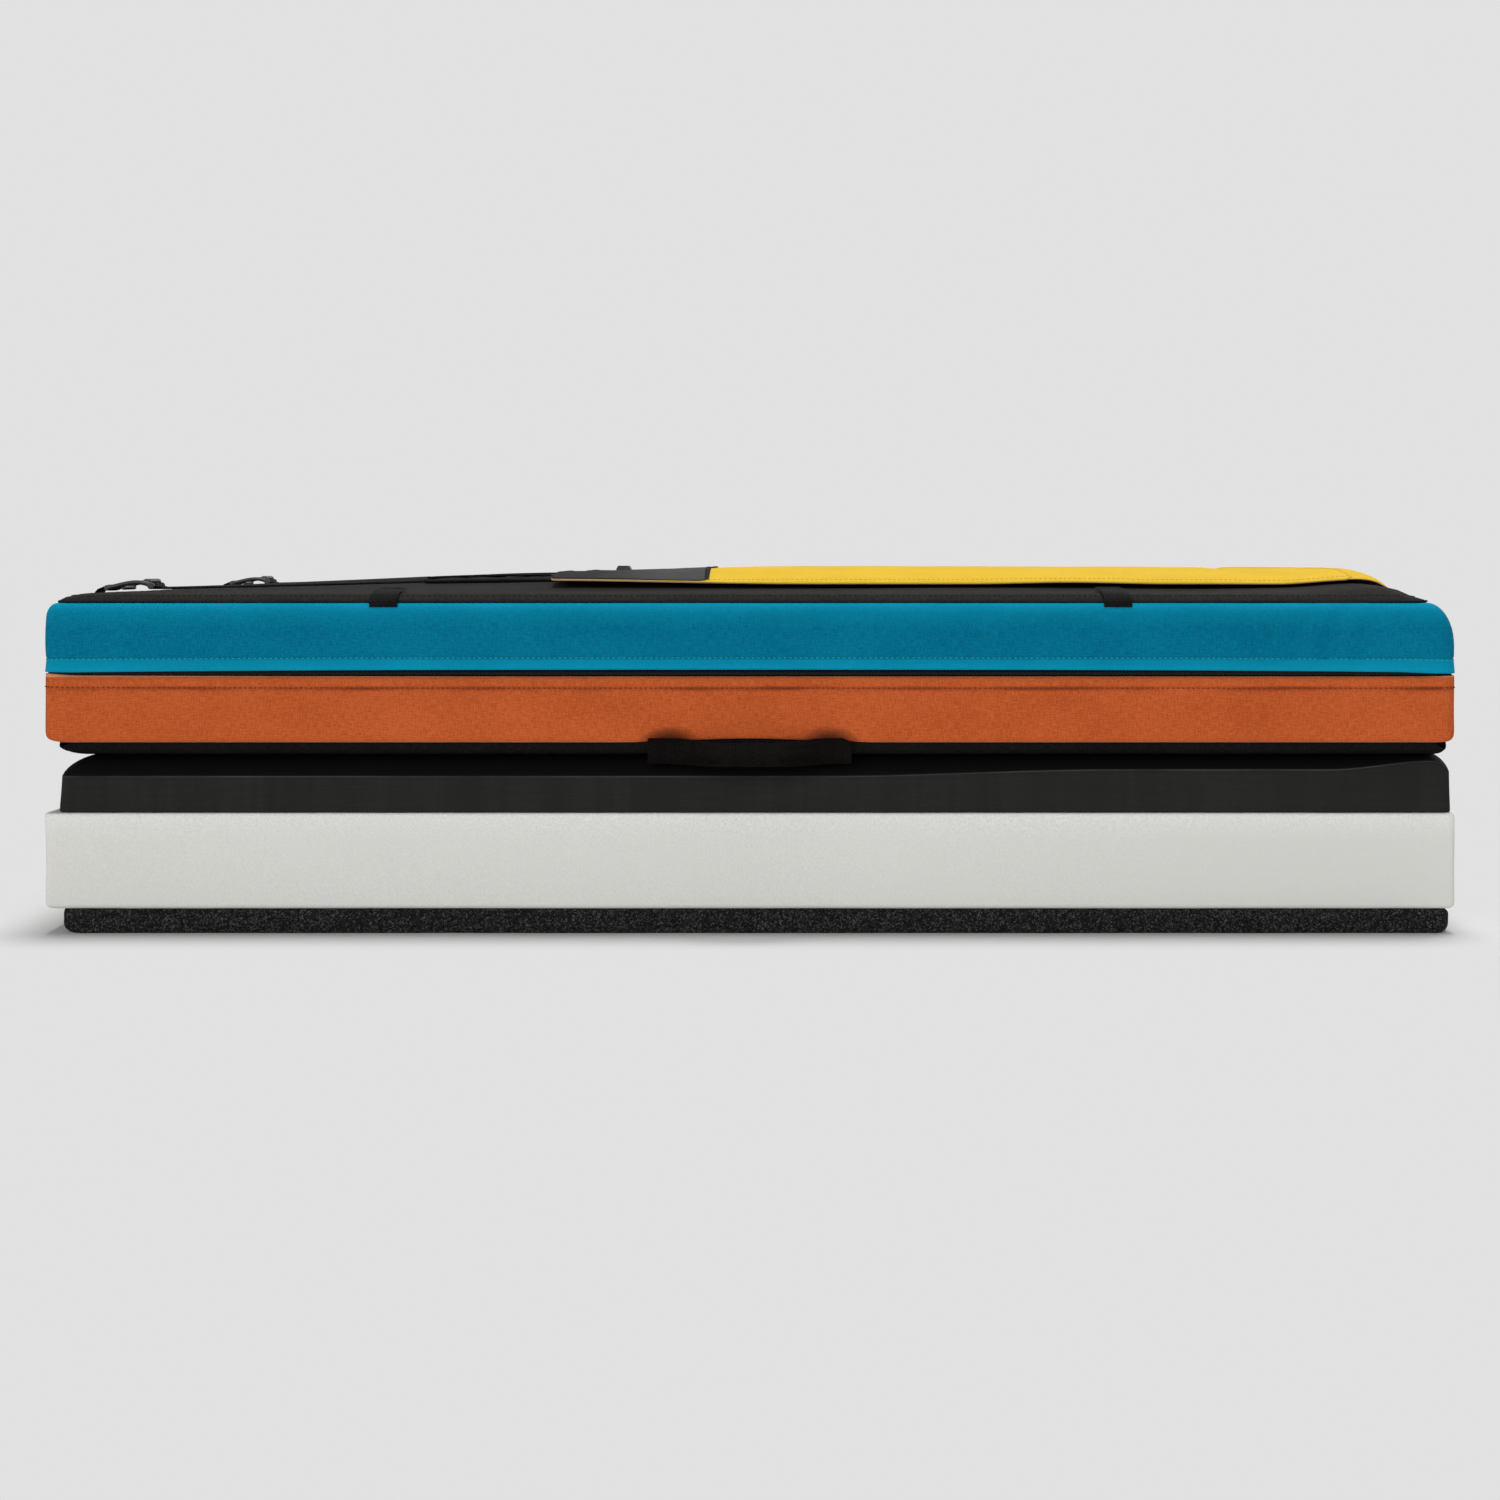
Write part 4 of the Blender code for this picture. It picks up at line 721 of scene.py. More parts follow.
def from_rim(x, y, x0, x1, y0, y1):
    """How far a point lies inside a rectangle's rim."""
    return np.minimum(np.minimum(x - x0, x1 - x), np.minimum(y - y0, y1 - y))


def rounded_grid(xs, ys, radius):
    """A grid whose corners are drawn in to a radius."""
    x, y = np.meshgrid(xs, ys)
    cx = np.clip(x, xs[0] + radius, xs[-1] - radius)
    cy = np.clip(y, ys[0] + radius, ys[-1] - radius)
    dx, dy = x - cx, y - cy
    reach = np.hypot(dx, dy)
    scale = np.where((dx != 0) & (dy != 0), np.maximum(np.abs(dx), np.abs(dy)) / np.maximum(reach, 1e-9), 1)
    return cx + dx * scale, cy + dy * scale


def close_ends(low, high, pitch, reach=0.03, steps=6):
    """Grid lines from low to high, closer together near both ends."""
    first = [low + reach * (1 - math.cos(math.pi / 2 * k / steps)) for k in range(steps)]
    count = max(round((high - low - 2 * reach) / pitch), 1)
    middle = [low + reach + (high - low - 2 * reach) * k / count for k in range(count + 1)]
    return np.array(first + middle + [high + low - x for x in first[::-1]])


# Heights of the ground panel and of what lies on it


def panel_top(x, y):
    """The ground panel's height: round towards its seams, crowned, and full behind the front's right end."""
    x0, x1, y0, y1 = PANEL_BOX
    left, right, front, rear = x - x0, x1 - x, y - y0, y1 - y
    round_reach, edge_rise, crown_rise, full_rise = 0.03, 0.0058, 0.0064, 0.0036
    steep = 1 - (1 - np.clip(right / round_reach, 0, 1)) ** 2
    edge = quarter(left / round_reach) * steep * quarter(front / round_reach) * quarter(rear / round_reach)
    crown = smooth(left / 0.33) * smooth(right / 0.035) * smooth(front / 0.14) * smooth(rear / 0.12)
    ahead = smooth(front / round_reach) * (1 - 0.95 * smooth((front - 0.05) / 0.10))
    full = smooth((x - 0.39) / 0.06) * smooth(right / 0.020) * ahead
    return SEAM_Z + FIT + CLOTH + edge_rise * edge + crown_rise * crown + full_rise * full


def flap_bottom(x, y):
    """The flap's height: full over the pads, lower at its free end and between them, down at its sewn end."""
    aside = np.abs(y - MID_Y)
    from_edge = np.clip((FLAP_WIDTH / 2 - aside) / 0.1, 0, 1)
    from_free = smooth((x - FLAP_START_X) / 0.19)
    across = quarter(from_edge) * from_free + (1 - (1 - from_edge) ** 2) * (1 - from_free)
    free = 0.50 + 0.50 * from_free
    sewn = 1 - np.clip(1 - (ROOT_END_X - x) / 0.024, 0, 1) ** 4
    hollow = 0.0026 * smooth((x - 0.34) / 0.05) * (1 - smooth((x - 0.43) / 0.03))
    full = 0.0094 - 0.0005 * smooth((x - 0.15) / 0.15) - hollow
    wave = 0.0012 * (1 - smooth(np.abs(x - 0.238) / 0.075))
    sag = 0.0052 * (1 - smooth((x - FLAP_START_X) / 0.15)) * (1 - smooth(aside / 0.115))
    shoulder = 0.0015 * (1 - smooth(np.abs(x - 0.465) / 0.022)) * smooth((ROOT_END_X - x) / 0.004)
    raised = (full * free * sewn + shoulder) * across + (0.0034 * (1 - from_free) + wave) * (1 - across)
    return panel_top(x, y) + 0.0008 + raised - sag


def flap_height(x, y):
    """Top of the flap's cloth, with its soft unevenness."""
    rim = np.minimum(FLAP_WIDTH / 2 - np.abs(y - MID_Y), x - FLAP_START_X)
    soft = 0.0006 * waves(x, y, 0.09, 81) + 0.0005 * waves(x, y * 0.5, 0.045, 82)
    return flap_bottom(x, y) + FLAP_CLOTH + np.minimum(soft, 0) * smooth(rim / 0.03) + 0.0005


def strap_middle(x, side):
    """The middle line of a shoulder strap. The two lines come closer towards the pads' top ends."""
    return MID_Y + side * (0.195 - 0.080 * (x - STRAP_START_X) / (PAD_END_X - STRAP_START_X))


# Foam


def landing_rise(x, z):
    """How much a point of the dark layer is raised, where its rounded front edge is thinner."""
    below = (z - LANDING_Z) / (LANDING_EDGE_Z - LANDING_Z)
    share = np.where(z < LANDING_EDGE_Z, below, (CONTACT_Z - FIT - z) / 0.0150)
    return sum(rise * smooth((x - start) / (end - start)) for start, end, rise in THIN_EDGE) * share


def foam(name, slot, levels, radius, seed, uneven, replaced, body="upper_half", rise=None):
    """A foam layer with a rounded rim, its cut sides a little uneven."""

    def push(x, y, z):
        wave = waves(x + y, z, 0.10, seed) + 0.5 * waves(x - y, z, 0.03, seed + 1)
        return uneven * wave, rise(x, z) if rise else 0.0

    rows = wall_rows(levels, radius, push)
    centre, shrunk = np.array([0.0, MID_Y, 0.0]), np.array([0.97, 0.97, 1.0])
    low, high = (centre + (row - centre) * shrunk for row in (rows[0], rows[-1]))
    piece = skin(name, [low, *rows, high], slot, closed=True, caps=True)
    settle(piece, slot, replaced, body=body)


def rounded_levels(
    low,
    high,
    insets,
    low_round,
    high_round,
    low_reach=None,
    high_reach=None,
    crisp=(0, 0, 0, 0),
    lean=(0, 0),
    steps=7,
):
    """Heights and insets up a foam layer's side, rounded at its bottom and top, leaning in at its two ends.

    Insets, reaches and crispness are for the left, right, front and rear side. A crisp edge turns at once.
    """
    low_reach = low_reach or (low_round,) * 4
    high_reach = high_reach or (high_round,) * 4
    turns = [math.pi / 2 * k / steps for k in range(steps + 1)]
    levels = []
    for a in turns:
        levels.append((low + low_round * (1 - math.cos(a)), [r * (1 - math.sin(a)) for r in low_reach]))
    wall_low, wall_high = low + low_round, high - high_round
    levels += [(wall_low + (wall_high - wall_low) * k / 6, [0.0] * 4) for k in range(1, 6)]
    for a in turns:
        turn = [r * (c * math.sin(a) + (1 - c) * (1 - math.cos(a))) for r, c in zip(high_reach, crisp)]
        levels.append((wall_high + high_round * math.sin(a), turn))
    leaning = [*lean, 0, 0]
    shares = [(z - low) / (high - low) for z, _ in levels]
    sides = [list(zip(insets, turn, leaning)) for _, turn in levels]
    return [(z, [a + b + c * t for a, b, c in side]) for (z, _), side, t in zip(levels, sides, shares)]


def lower_half():
    """The three bare foam layers."""
    ground = rounded_levels(
        0,
        GROUND_FOAM - FIT,
        (0.0115, 0.0030, 0.0018, 0.0030),
        low_round=0.0070,
        high_round=0.0040,
        low_reach=(0.0085, 0.0060, 0.0015, 0.0030),
        high_reach=(0.0012, 0.0040, 0.0012, 0.0012),
    )
    core = rounded_levels(GROUND_FOAM, LANDING_Z - FIT, (-0.0010, -0.0010, 0, 0), 0.0040, 0.0020)
    landing = rounded_levels(
        LANDING_Z,
        CONTACT_Z - FIT,
        (0.0084, 0.0012, 0.0020, 0.0020),
        low_round=0.0010,
        high_round=0.0150,
        high_reach=(0.0275, 0.0090, 0.0260, 0.0260),
        crisp=(0.08, 0.0, 0.5, 0.5),
        lean=(0.0020, 0.0014),
        steps=9,
    )
    for name, slot, levels, radius, seed, uneven, replaced, rise in (
        ("rebonded_layer", "rebonded_foam", ground, 0.0060, 11, 0.0003, "lower_ground_foam", None),
        ("white_core", "white_foam", core, 0.0050, 21, 0.0004, "lower_core_foam", None),
        ("dark_landing_layer", "dark_foam", landing, 0.0060, 31, 0.0004, "lower_landing_foam", landing_rise),
    ):
        foam(name, slot, levels, radius, seed, uneven, replaced, "lower_half", rise)


def filling():
    """The upper half's foams, inside its cover."""
    ground_z = SEAM_Z + 0.0105 - GROUND_FOAM
    core_z = ground_z - CORE_FOAM
    landing = (CONTACT_Z + 0.0018, core_z - FIT, (0.0230, 0.0130, 0.0125, 0.0125))
    core = (core_z, ground_z - FIT, (0.0045, 0.0100, 0.0045, 0.0045))
    ground = (ground_z, SEAM_Z + 0.0030, (0.0160, 0.0300, 0.0160, 0.0160))
    for name, slot, replaced, layer in (
        ("inner_landing_layer", "dark_foam", "upper_landing_foam", landing),
        ("inner_core", "white_foam", "upper_core_foam", core),
        ("inner_rebonded_layer", "rebonded_foam", "upper_ground_foam", ground),
    ):
        foam(name, slot, rounded_levels(*layer, 0.0012, 0.0012, steps=2), 0.0080, 5, 0.0, replaced)


# The upper half's cover


def at_front(y):
    """1 on the front, falling smoothly to 0 a little way round its corners."""
    return smooth((FRONT_Y + 0.030 - y) / 0.025)


def at_rear(y):
    """Whether a point of a band is on the rear wall."""
    return y > REAR_Y - 0.003


def gap_rise(x, y):
    """How much the teal hem is raised over the zip: most in the front's middle, less towards its ends."""
    share = np.clip(np.abs(x) / 0.5, 0, 1) ** 3
    corner = 0.0010 * smooth((x - 0.455) / 0.045) * at_front(y)
    return np.where(y < REAR_Y - 0.02, 0.0009 - 0.0022 * share - corner, -0.0013)


def gap_drop(x, y):
    """How much the orange band's top hangs under the zip. It is drawn up at the front's ends."""
    corner = (0.0012 * smooth((-x - 0.475) / 0.025) + 0.0005 * smooth((x - 0.470) / 0.030)) * at_front(y)
    return 0.0004 - 0.0009 * np.clip(-x / 0.5, 0, 1) ** 3 - corner


def flat_for_sliders(x, y, out):
    """Draws a band in on the end walls where the zip sliders run, smoothly to nothing at the corners."""
    along = smooth((y - FRONT_Y - 0.012) / 0.02) * smooth((REAR_Y - 0.012 - y) / 0.02)
    return out - np.where(np.abs(x) > 0.49, along, 0.0) * np.maximum(out - 0.0001, 0.0)


def teal_push(x, y, z):
    """How far the teal band stands out and is lifted: soft waves, drag folds at the right, and a hem."""
    rise = (z - TEAL_Z) / TEAL_BAND
    hem = HEM / TEAL_BAND
    above_hem = math.sin(math.pi * min(max((rise - hem) / (1 - hem), 0), 1))
    drag = face_window(x, y, 0.41, 0.060) * 0.0026 * np.sin((x - 0.02 * rise) * math.tau / 0.024)
    out = 0.0009 * waves(x, y + z * 0.35, 0.060, 41) * above_hem
    out = out + drag * math.sin(math.pi * rise) + 0.0014 * math.sin(math.pi * rise) ** 0.8
    if rise < hem:
        out = np.where(np.abs(x) > 0.49, 0.3, 1.0) * (0.0026 * (1 - rise / hem) + 0.0006) + 0.0005
    elif rise < hem * 1.25:
        out = out - 0.0004
    if rise < 0.25:
        out = flat_for_sliders(x, y, out)
    return np.where(at_rear(y), np.minimum(out, 0.0), out), (1 - rise) ** 3 * gap_rise(x, y)


def orange_push(x, y, z):
    """How far the orange band stands out and is lifted: soft waves, the handle's dents and pull, a crease."""
    rise = (z - ORANGE_Z) / ORANGE_BAND
    dents = face_window(x, y, -0.0570, 0.028) + face_window(x, y, 0.0570, 0.028)
    out = 0.0008 * waves(x, y + z * 0.3, 0.070, 43) * math.sin(math.pi * rise)
    out = out - 0.0050 * dents * math.exp(-(((rise - 0.10) / 0.22) ** 2))
    out = out + 0.0014 * face_window(x, y, 0.0, 0.085) * math.exp(-((rise / 0.35) ** 2))
    end = smooth((np.abs(x) - 0.486) / 0.010)
    out = out + 0.0012 * end * smooth(rise / 0.15) - 0.0012 * (1 - 0.7 * end) * max(rise - 0.95, 0) / 0.05
    out = out + (1 - end) * (0.0009 * (rise > CREASE) - 0.0007 * (abs(rise - CREASE) < 0.03))
    if rise > 0.85:
        out = flat_for_sliders(x, y, out)
    lift = 0.0028 * face_window(x, y, 0.0, 0.092) * (1 - rise) ** 4 - rise**4 * gap_drop(x, y)
    return np.where(at_rear(y), np.minimum(out, 0.0), out), lift


def teal_insets(z):
    """How far the teal band has turned in towards the seam, left, right, front and rear."""
    front = turned(0.0020, 0.0060, z - (SEAM_Z - 0.0060))
    left = turned(0.0063 + END_BULGE, 0.0100, z - (SEAM_Z - 0.0100)) - END_BULGE
    right = turned(0.0167 + END_BULGE, 0.0330, z - (SEAM_Z - 0.0330)) - END_BULGE
    return [left, right, front, front]


def orange_insets(z):
    """How far the orange band has turned in towards the landing panel, left, right, front and rear."""
    rise = ORANGE_Z + 0.0040 - z
    left, right = (turned(reach + END_BULGE, 0.0040, rise) - END_BULGE for reach in (0.0085, 0.0035))
    front = turned(0.0030, 0.0040, rise)
    return [left, right, front, front]


def band(name, slot, low, high, shares, insets, push, flat, replaced):
    """A band of cloth round the pad, with rows at shares of the way from its low to its high edge."""
    levels = [(z, insets(z)) for z in (low + (high - low) * share for share in shares)]
    piece = skin(name, wall_rows(levels, CORNER, push), slot, closed=True, thickness=CLOTH)
    settle(piece, slot, replaced, flat=flat, held="stretched", rests_on=["upper_core_foam"])


def cover_walls():
    """The two bands, with closer rows where a hem, a crease or an edge bends them."""
    shares = [0, 0.06, 0.12, 0.16, 0.19, 0.23, 0.3, 0.38, 0.46, 0.54]
    shares += [0.62, 0.7, 0.77, 0.83, 0.88, 0.92, 0.95, 0.975, 0.99, 1.0]
    edges, shape = (TEAL_Z, SEAM_Z), (teal_insets, teal_push)
    band("teal_band", "teal_fabric", *edges, shares, *shape, (3.276, 0.0510), "teal_wall")
    shares = [0, 0.006, 0.02, 0.045, 0.09, 0.16, 0.24, 0.32, 0.4, 0.48]
    shares += [0.56, 0.64, 0.72, 0.78, CREASE, 0.86, 0.91, 0.96, 1.0]
    edges, shape = (ORANGE_Z, ORANGE_TOP_Z), (orange_insets, orange_push)
    band("orange_band", "orange_fabric", *edges, shares, *shape, (3.276, 0.0500), "orange_wall")


def seam_push(x, y, z):
    """The overlocked seam's slight up and down."""
    return 0.0, 0.0004 * waves(x, y, 0.09, 19)


def wall_line(z, insets, push, stand):
    """A closed line of points on a wall, a little way off it, with the way that it faces."""
    row = wall_rows([(z, insets)], CORNER, push)[0]
    normals = outward(row[:, :2])
    row[:, :2] += normals * stand
    return row, np.column_stack([normals, np.zeros(len(row))]), True


def cover_stitches():
    """The stitches over the teal hem and along the orange band's crease."""
    hem_z, crease_z = TEAL_Z + HEM * 1.02, ORANGE_Z + ORANGE_BAND * CREASE
    line = wall_line(hem_z, teal_insets(hem_z), teal_push, 0.00035)
    sew("teal_hem_stitches", [line], "teal_thread", HEM_STITCH, "teal_fabric")
    line = wall_line(crease_z, orange_insets(crease_z), orange_push, 0.00030)
    sew("orange_band_stitches", [line], "orange_thread", CREASE_STITCH, "orange_fabric")


def zip_line():
    """The zip's tape behind the bands, and its coil on both end walls and the front."""
    levels = [(ZIP_Z - 0.010 + 0.002 * k, [CLOTH + FIT] * 4) for k in range(11)]
    tape = skin("zip_tape_band", wall_rows(levels, CORNER), "zip_black", closed=True, thickness=0.0008)
    settle(tape, "zip_black", "zip_tape", flat=(3.266, 0.020), held="stretched", rests_on=["upper_core_foam"])
    path = outline([-0.0002, -0.0002, 0.0009, 0.0009], CORNER)
    from_end = np.abs(path[:, 1] - (REAR_Y - 0.02))
    right, left = (int(np.argmin(from_end + (path[:, 0] * side < 0))) for side in (1, -1))
    order = np.concatenate([np.arange(left, len(path)), np.arange(0, right + 1)])
    spots, normals = path[order], outward(path)[order]
    points = np.column_stack([spots, np.full(len(spots), ZIP_Z)])
    line = (points, np.column_stack([normals, np.zeros(len(spots))]), False)
    sew("zip_coil_teeth", [line], "zip_teeth", ZIP_COIL, "zip_black", "zip_coil", slant=0.16, bars=True)


def puffed(piece, held, pressure):
    """Where a cloth mesh's points end when it swells under a little pressure, with the held points fixed."""
    group = piece.vertex_groups.new(name="held")
    group.add(np.flatnonzero(held).tolist(), 1.0, "REPLACE")
    cloth = piece.modifiers.new("cloth", "CLOTH")
    settings = cloth.settings
    settings.quality = 4
    settings.mass = 0.25
    settings.tension_stiffness = settings.compression_stiffness = 18
    settings.shear_stiffness = 6
    settings.bending_stiffness = 0.4
    settings.shrink_min = -0.012
    settings.use_pressure = True
    settings.uniform_pressure_force = pressure
    settings.effector_weights.gravity = 0
    settings.vertex_group_mass = "held"
    frames = 16
    cloth.point_cache.frame_start, cloth.point_cache.frame_end = 1, frames
    scene = bpy.context.scene
    for number in range(1, frames + 1):
        scene.frame_set(number)
    swollen = piece.evaluated_get(bpy.context.evaluated_depsgraph_get()).to_mesh()
    points = np.zeros(len(swollen.vertices) * 3)
    swollen.vertices.foreach_get("co", points)
    piece.modifiers.remove(cloth)
    piece.vertex_groups.clear()
    scene.frame_set(1)
    return points.reshape(-1, 3)


def panel(name, look, xs, ys, radius, height, flip, flat, replaced):
    """A top or bottom panel of the cover. Its cloth swells a little between its seams."""
    x, y = rounded_grid(xs, ys, radius)
    z = height(x, y)
    piece = skin(name, np.dstack([x, y, z]), look, flip=flip)
    rim = from_rim(x, y, xs[0], xs[-1], ys[0], ys[-1])
    swollen = puffed(piece, rim < 0.002, -1.2 if flip else 1.2)[:, 2].reshape(z.shape)
    move = swollen - z
    move = np.clip(move - np.median(move), -0.0012, 0.0012) * smooth(rim / 0.04) * 0.6
    move = np.maximum(move, 0) if flip else np.minimum(move, 0.0003)
    piece.data.vertices.foreach_set("co", np.dstack([x, y, z + move]).ravel())
    thicken(piece, CLOTH)
    settle(piece, "black_fabric", replaced, flat=flat, held="stretched", rests_on=["upper_core_foam"])


def ground_side_panel():
    """The top panel: soft, and puckered along its seam."""
    x0, x1, y0, y1 = PANEL_BOX

    def top(x, y):
        rim = from_rim(x, y, *PANEL_BOX)
        puckers = 0.00045 * np.sin((x + y) * math.tau / 0.021 + 2 * waves(x, y, 0.08, 7))
        soft = 0.0006 * waves(x, y, 0.11, 51) * smooth(rim / 0.05)
        seamed = panel_top(x, y) + puckers * np.exp(-(((rim - 0.010) / 0.009) ** 2))
        return seamed + np.minimum(soft, 0.0002) - 0.0008 * np.exp(-((rim / 0.003) ** 2))

    xs, ys = close_ends(x0, x1, 0.0085), close_ends(y0, y1, 0.0085)
    flat = (xs[-1] - xs[0], ys[-1] - ys[0])
    panel("ground_side_panel", "black_fabric", xs, ys, 0.0120, top, False, flat, "ground_panel")


def landing_side_panel():
    """The bottom panel, pressed flat on the lower half, drawn up at its rim and by the handle."""
    left, right, front = 0.0070, 0.0030, 0.0027
    x1, y1 = RIGHT_X - right, REAR_Y - front

    def bottom(x, y):
        from_left, from_front = x - LEFT_X - left, y - FRONT_Y - front
        reach_x = quarter(from_left / 0.0220) ** 0.8 * quarter((x1 - x) / 0.0090)
        reach_y = quarter(from_front / 0.0060) * quarter((y1 - y) / 0.0090)
        raised = 0.0028 * face_window(x, y, 0.0, 0.092) * (1 - smooth(from_front / 0.012))
        return CONTACT_Z + (ORANGE_Z + 0.0002 - CONTACT_Z) * (1 - reach_x * reach_y) + raised

    xs = close_ends(LEFT_X + left, x1, 0.0095, 0.0200)
    ys = close_ends(FRONT_Y + front, y1, 0.0095, 0.0120)
    flat = (xs[-1] - xs[0], ys[-1] - ys[0])
    panel("landing_side_panel", "shaded_landing_fabric", xs, ys, 0.0090, bottom, True, flat, "landing_panel")


def seam_cord():
    """The dark overlocked seam between the teal band and the ground panel."""
    line = wall_line(SEAM_Z + 0.0006, teal_insets(SEAM_Z), seam_push, 0.0)
    sew("seam_overlock", [line], "seam_thread", OVERLOCK, "black_fabric")


def panel_stitches():
    """A closed line of stitches round the ground panel, a little way in from its seam."""
    x0, x1, y0, y1 = PANEL_BOX
    inset, corner, pitch = 0.0060, 0.012, 0.01
    x0, x1, y0, y1 = x0 + inset, x1 - inset, y0 + inset, y1 - inset
    xs = np.arange(x0 + corner, x1 - corner, pitch)
    ys = np.arange(y0 + corner, y1 - corner, pitch)
    run = [(x, y0) for x in xs] + [(x1, y) for y in ys]
    run += [(x, y1) for x in xs[::-1]] + [(x0, y) for y in ys[::-1]]
    run = np.array(run)
    line = (np.column_stack([run, panel_top(*run.T) + 0.0002]), (0, 0, 1), True)
    sew("panel_stitches", [line], "black_thread", PANEL_STITCH, "black_fabric")


# Fold

LEAF_Y = REAR_Y + FIT + CLOTH


def rear_leaf(name, low, high, body, replaced, seed):
    """A leaf of black cloth over a half's rear wall."""
    x, z = np.meshgrid(np.linspace(LEFT_X + 0.02, RIGHT_X - 0.02, 97), np.linspace(low, high, 17))
    y = LEAF_Y - 0.0003 * np.maximum(waves(x, z, 0.05, seed), 0)
    piece = skin(name, np.dstack([x, y, z]), "black_fabric", flip=True, thickness=CLOTH * 0.8)
    settle(piece, "black_fabric", replaced, body=body, flat=(0.96, high - low), held="stretched", rests_on=[])


def leaf_stitches(name, body, up):
    """Two rows of stitches along a leaf's far edge. Each also runs down both ends and back."""
    lines = []
    for inset in (0.0, 0.0045):
        end_x, edge = 0.4765 - inset, FOLD_Z + up * (0.0765 - inset)
        down = np.linspace(edge, FOLD_Z + up * 0.0150, 9)
        run = [(-end_x, z) for z in down] + [(x, edge) for x in np.linspace(-0.47, 0.47, 60)]
        run += [(end_x, z) for z in down[::-1]]
        lines.append(([(x, LEAF_Y + 0.0002, z) for x, z in run], (0, 1, 0), False))
    sew(name, lines, "black_thread", LEAF_STITCH, "black_fabric", body=body)


def fold_fabric():
    """The two leaves at the rear, and the rolled binding that the halves fold on."""
    rear_leaf("upper_rear_leaf", FOLD_Z + 0.0006, FOLD_Z + 0.08, "upper_half", "upper_hinge_leaf", 61)
    rear_leaf("lower_rear_leaf", FOLD_Z - 0.08, FOLD_Z - 0.0030, "lower_half", "lower_hinge_leaf", 62)
    leaf_stitches("upper_leaf_stitches", "upper_half", 1)
    leaf_stitches("lower_leaf_stitches", "lower_half", -1)
    lip = [(LEAF_Y + 0.0009, 0.0110), (LEAF_Y + 0.0010, 0.0070), (LEAF_Y + 0.0014, 0.0040)]
    run = [(y, FOLD_Z - z) for y, z in lip]
    run += arc((FOLD_Y, FOLD_Z), 0.0026, range(-90, 91, 12))
    run += [(y, FOLD_Z + z) for y, z in lip[::-1]]
    grid = [[(x, y, z) for x in np.linspace(LEFT_X + 0.0188, RIGHT_X - 0.0188, 97)] for y, z in run]
    cover = skin("fold_binding", grid, "black_fabric", flip=True, thickness=0.0007)
    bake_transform(cover)


# Webbing

# Round a webbing's section: the share of its half width, whether it is drawn in, and that of its half height
WEBBING_SECTION = (
    [(-1, 0, 0), (-1, 1, 0.75), (-0.5, 1, 1), (0, 1, 1), (0.5, 1, 1), (1, 1, 0.75)]
    + [(1, 0, 0), (1, 1, -0.75), (0.5, 1, -1), (0, 1, -1), (-0.5, 1, -1), (-1, 1, -0.75)]
)


def strip(name, path, across, thickness, up=None, look="black_webbing"):
    """Flat webbing with rounded edges along a path. across is its half width, as one vector or one a point.

    up is the way that its face looks, where its ends are to be cut square to something else than the path.
    """
    path = np.asarray(path, float)
    across = np.broadcast_to(np.asarray(across, float), path.shape)
    if up is None:
        up = np.cross(np.gradient(path, axis=0), across)
        up /= np.linalg.norm(up, axis=1, keepdims=True)
    half = thickness / 2
    width = np.linalg.norm(across, axis=1, keepdims=True)
    inner = (width - half) / width
    rings = []
    for share, drawn_in, height in WEBBING_SECTION:
        side = inner if drawn_in and abs(share) == 1 else 1.0
        rings.append(path + across * share * side + up * half * height)
    piece = skin(name, np.stack(rings, axis=1)[::-1], look, closed=True, caps=True)
    corners = np.zeros(len(piece.data.loops), int)
    piece.data.loops.foreach_get("vertex_index", corners)
    row, column = np.divmod(corners, len(WEBBING_SECTION))
    shares = np.array([share for share, _, _ in WEBBING_SECTION])
    places = np.column_stack([distances(path)[::-1][row], shares[column] * width[0, 0]])
    piece.data.uv_layers["threads"].uv.foreach_set("vector", places.astype(np.float32).ravel())
    return piece


def lay_webbing(name, path, across, thickness, *replaced, up=None, look="black_webbing", **settled):
    """Webbing as a finished piece. settled says its body, flat size, how it is held and what it rests on."""
    settle(strip(name, path, across, thickness, up, look), "black_webbing", *replaced, **settled)


def on_panel(xs, side, lift):
    """Points along a shoulder strap's middle, at a height over the ground panel."""
    ys = strap_middle(xs, side)
    return np.column_stack([xs, ys, panel_top(xs, ys) + lift])


def box_stitch(x0, x1, y0, y1, lift, cross=True):
    """Lines of a sewn box, with its cross, at a height over the ground panel."""
    inset = 0.0022
    x0, x1, y0, y1 = x0 + inset, x1 - inset, y0 + inset, y1 - inset
    corners = [(x0, y0), (x1, y0), (x1, y1), (x0, y1)]
    sides = [np.linspace(a, b, 6, endpoint=False) for a, b in zip(corners, corners[1:] + corners[:1])]
    runs = [(np.concatenate(sides), True)]
    if cross:
        runs += [(np.linspace(corners[k], corners[m], 9), False) for k, m in ((0, 2), (3, 1))]
    heights = [panel_top(*run.T) + SLACK + lift for run, _ in runs]
    return [(np.column_stack([run, z]), (0, 0, 1), closed) for (run, closed), z in zip(runs, heights)]


def pad_crown(x):
    """Height of a shoulder pad's crown over the ground panel."""
    length = quarter((x - PAD_START_X) / 0.16) * quarter((PAD_END_X - x) / 0.04)
    return SLACK + 0.0024 + 0.0014 * length


def strap_run(x):
    """The share of the way from the adjuster to the pad."""
    return np.clip((x - STRAP_START_X) / (STRAP_END_X - STRAP_START_X), 0, 1)


def strap_lift(x):
    """Height of the strap's middle over the ground panel: it rises from the adjuster to the pad's top."""
    run = strap_run(x)
    return SLACK + 0.0010 + 0.0006 * smooth(run / 0.55) + 0.0008 * run**4


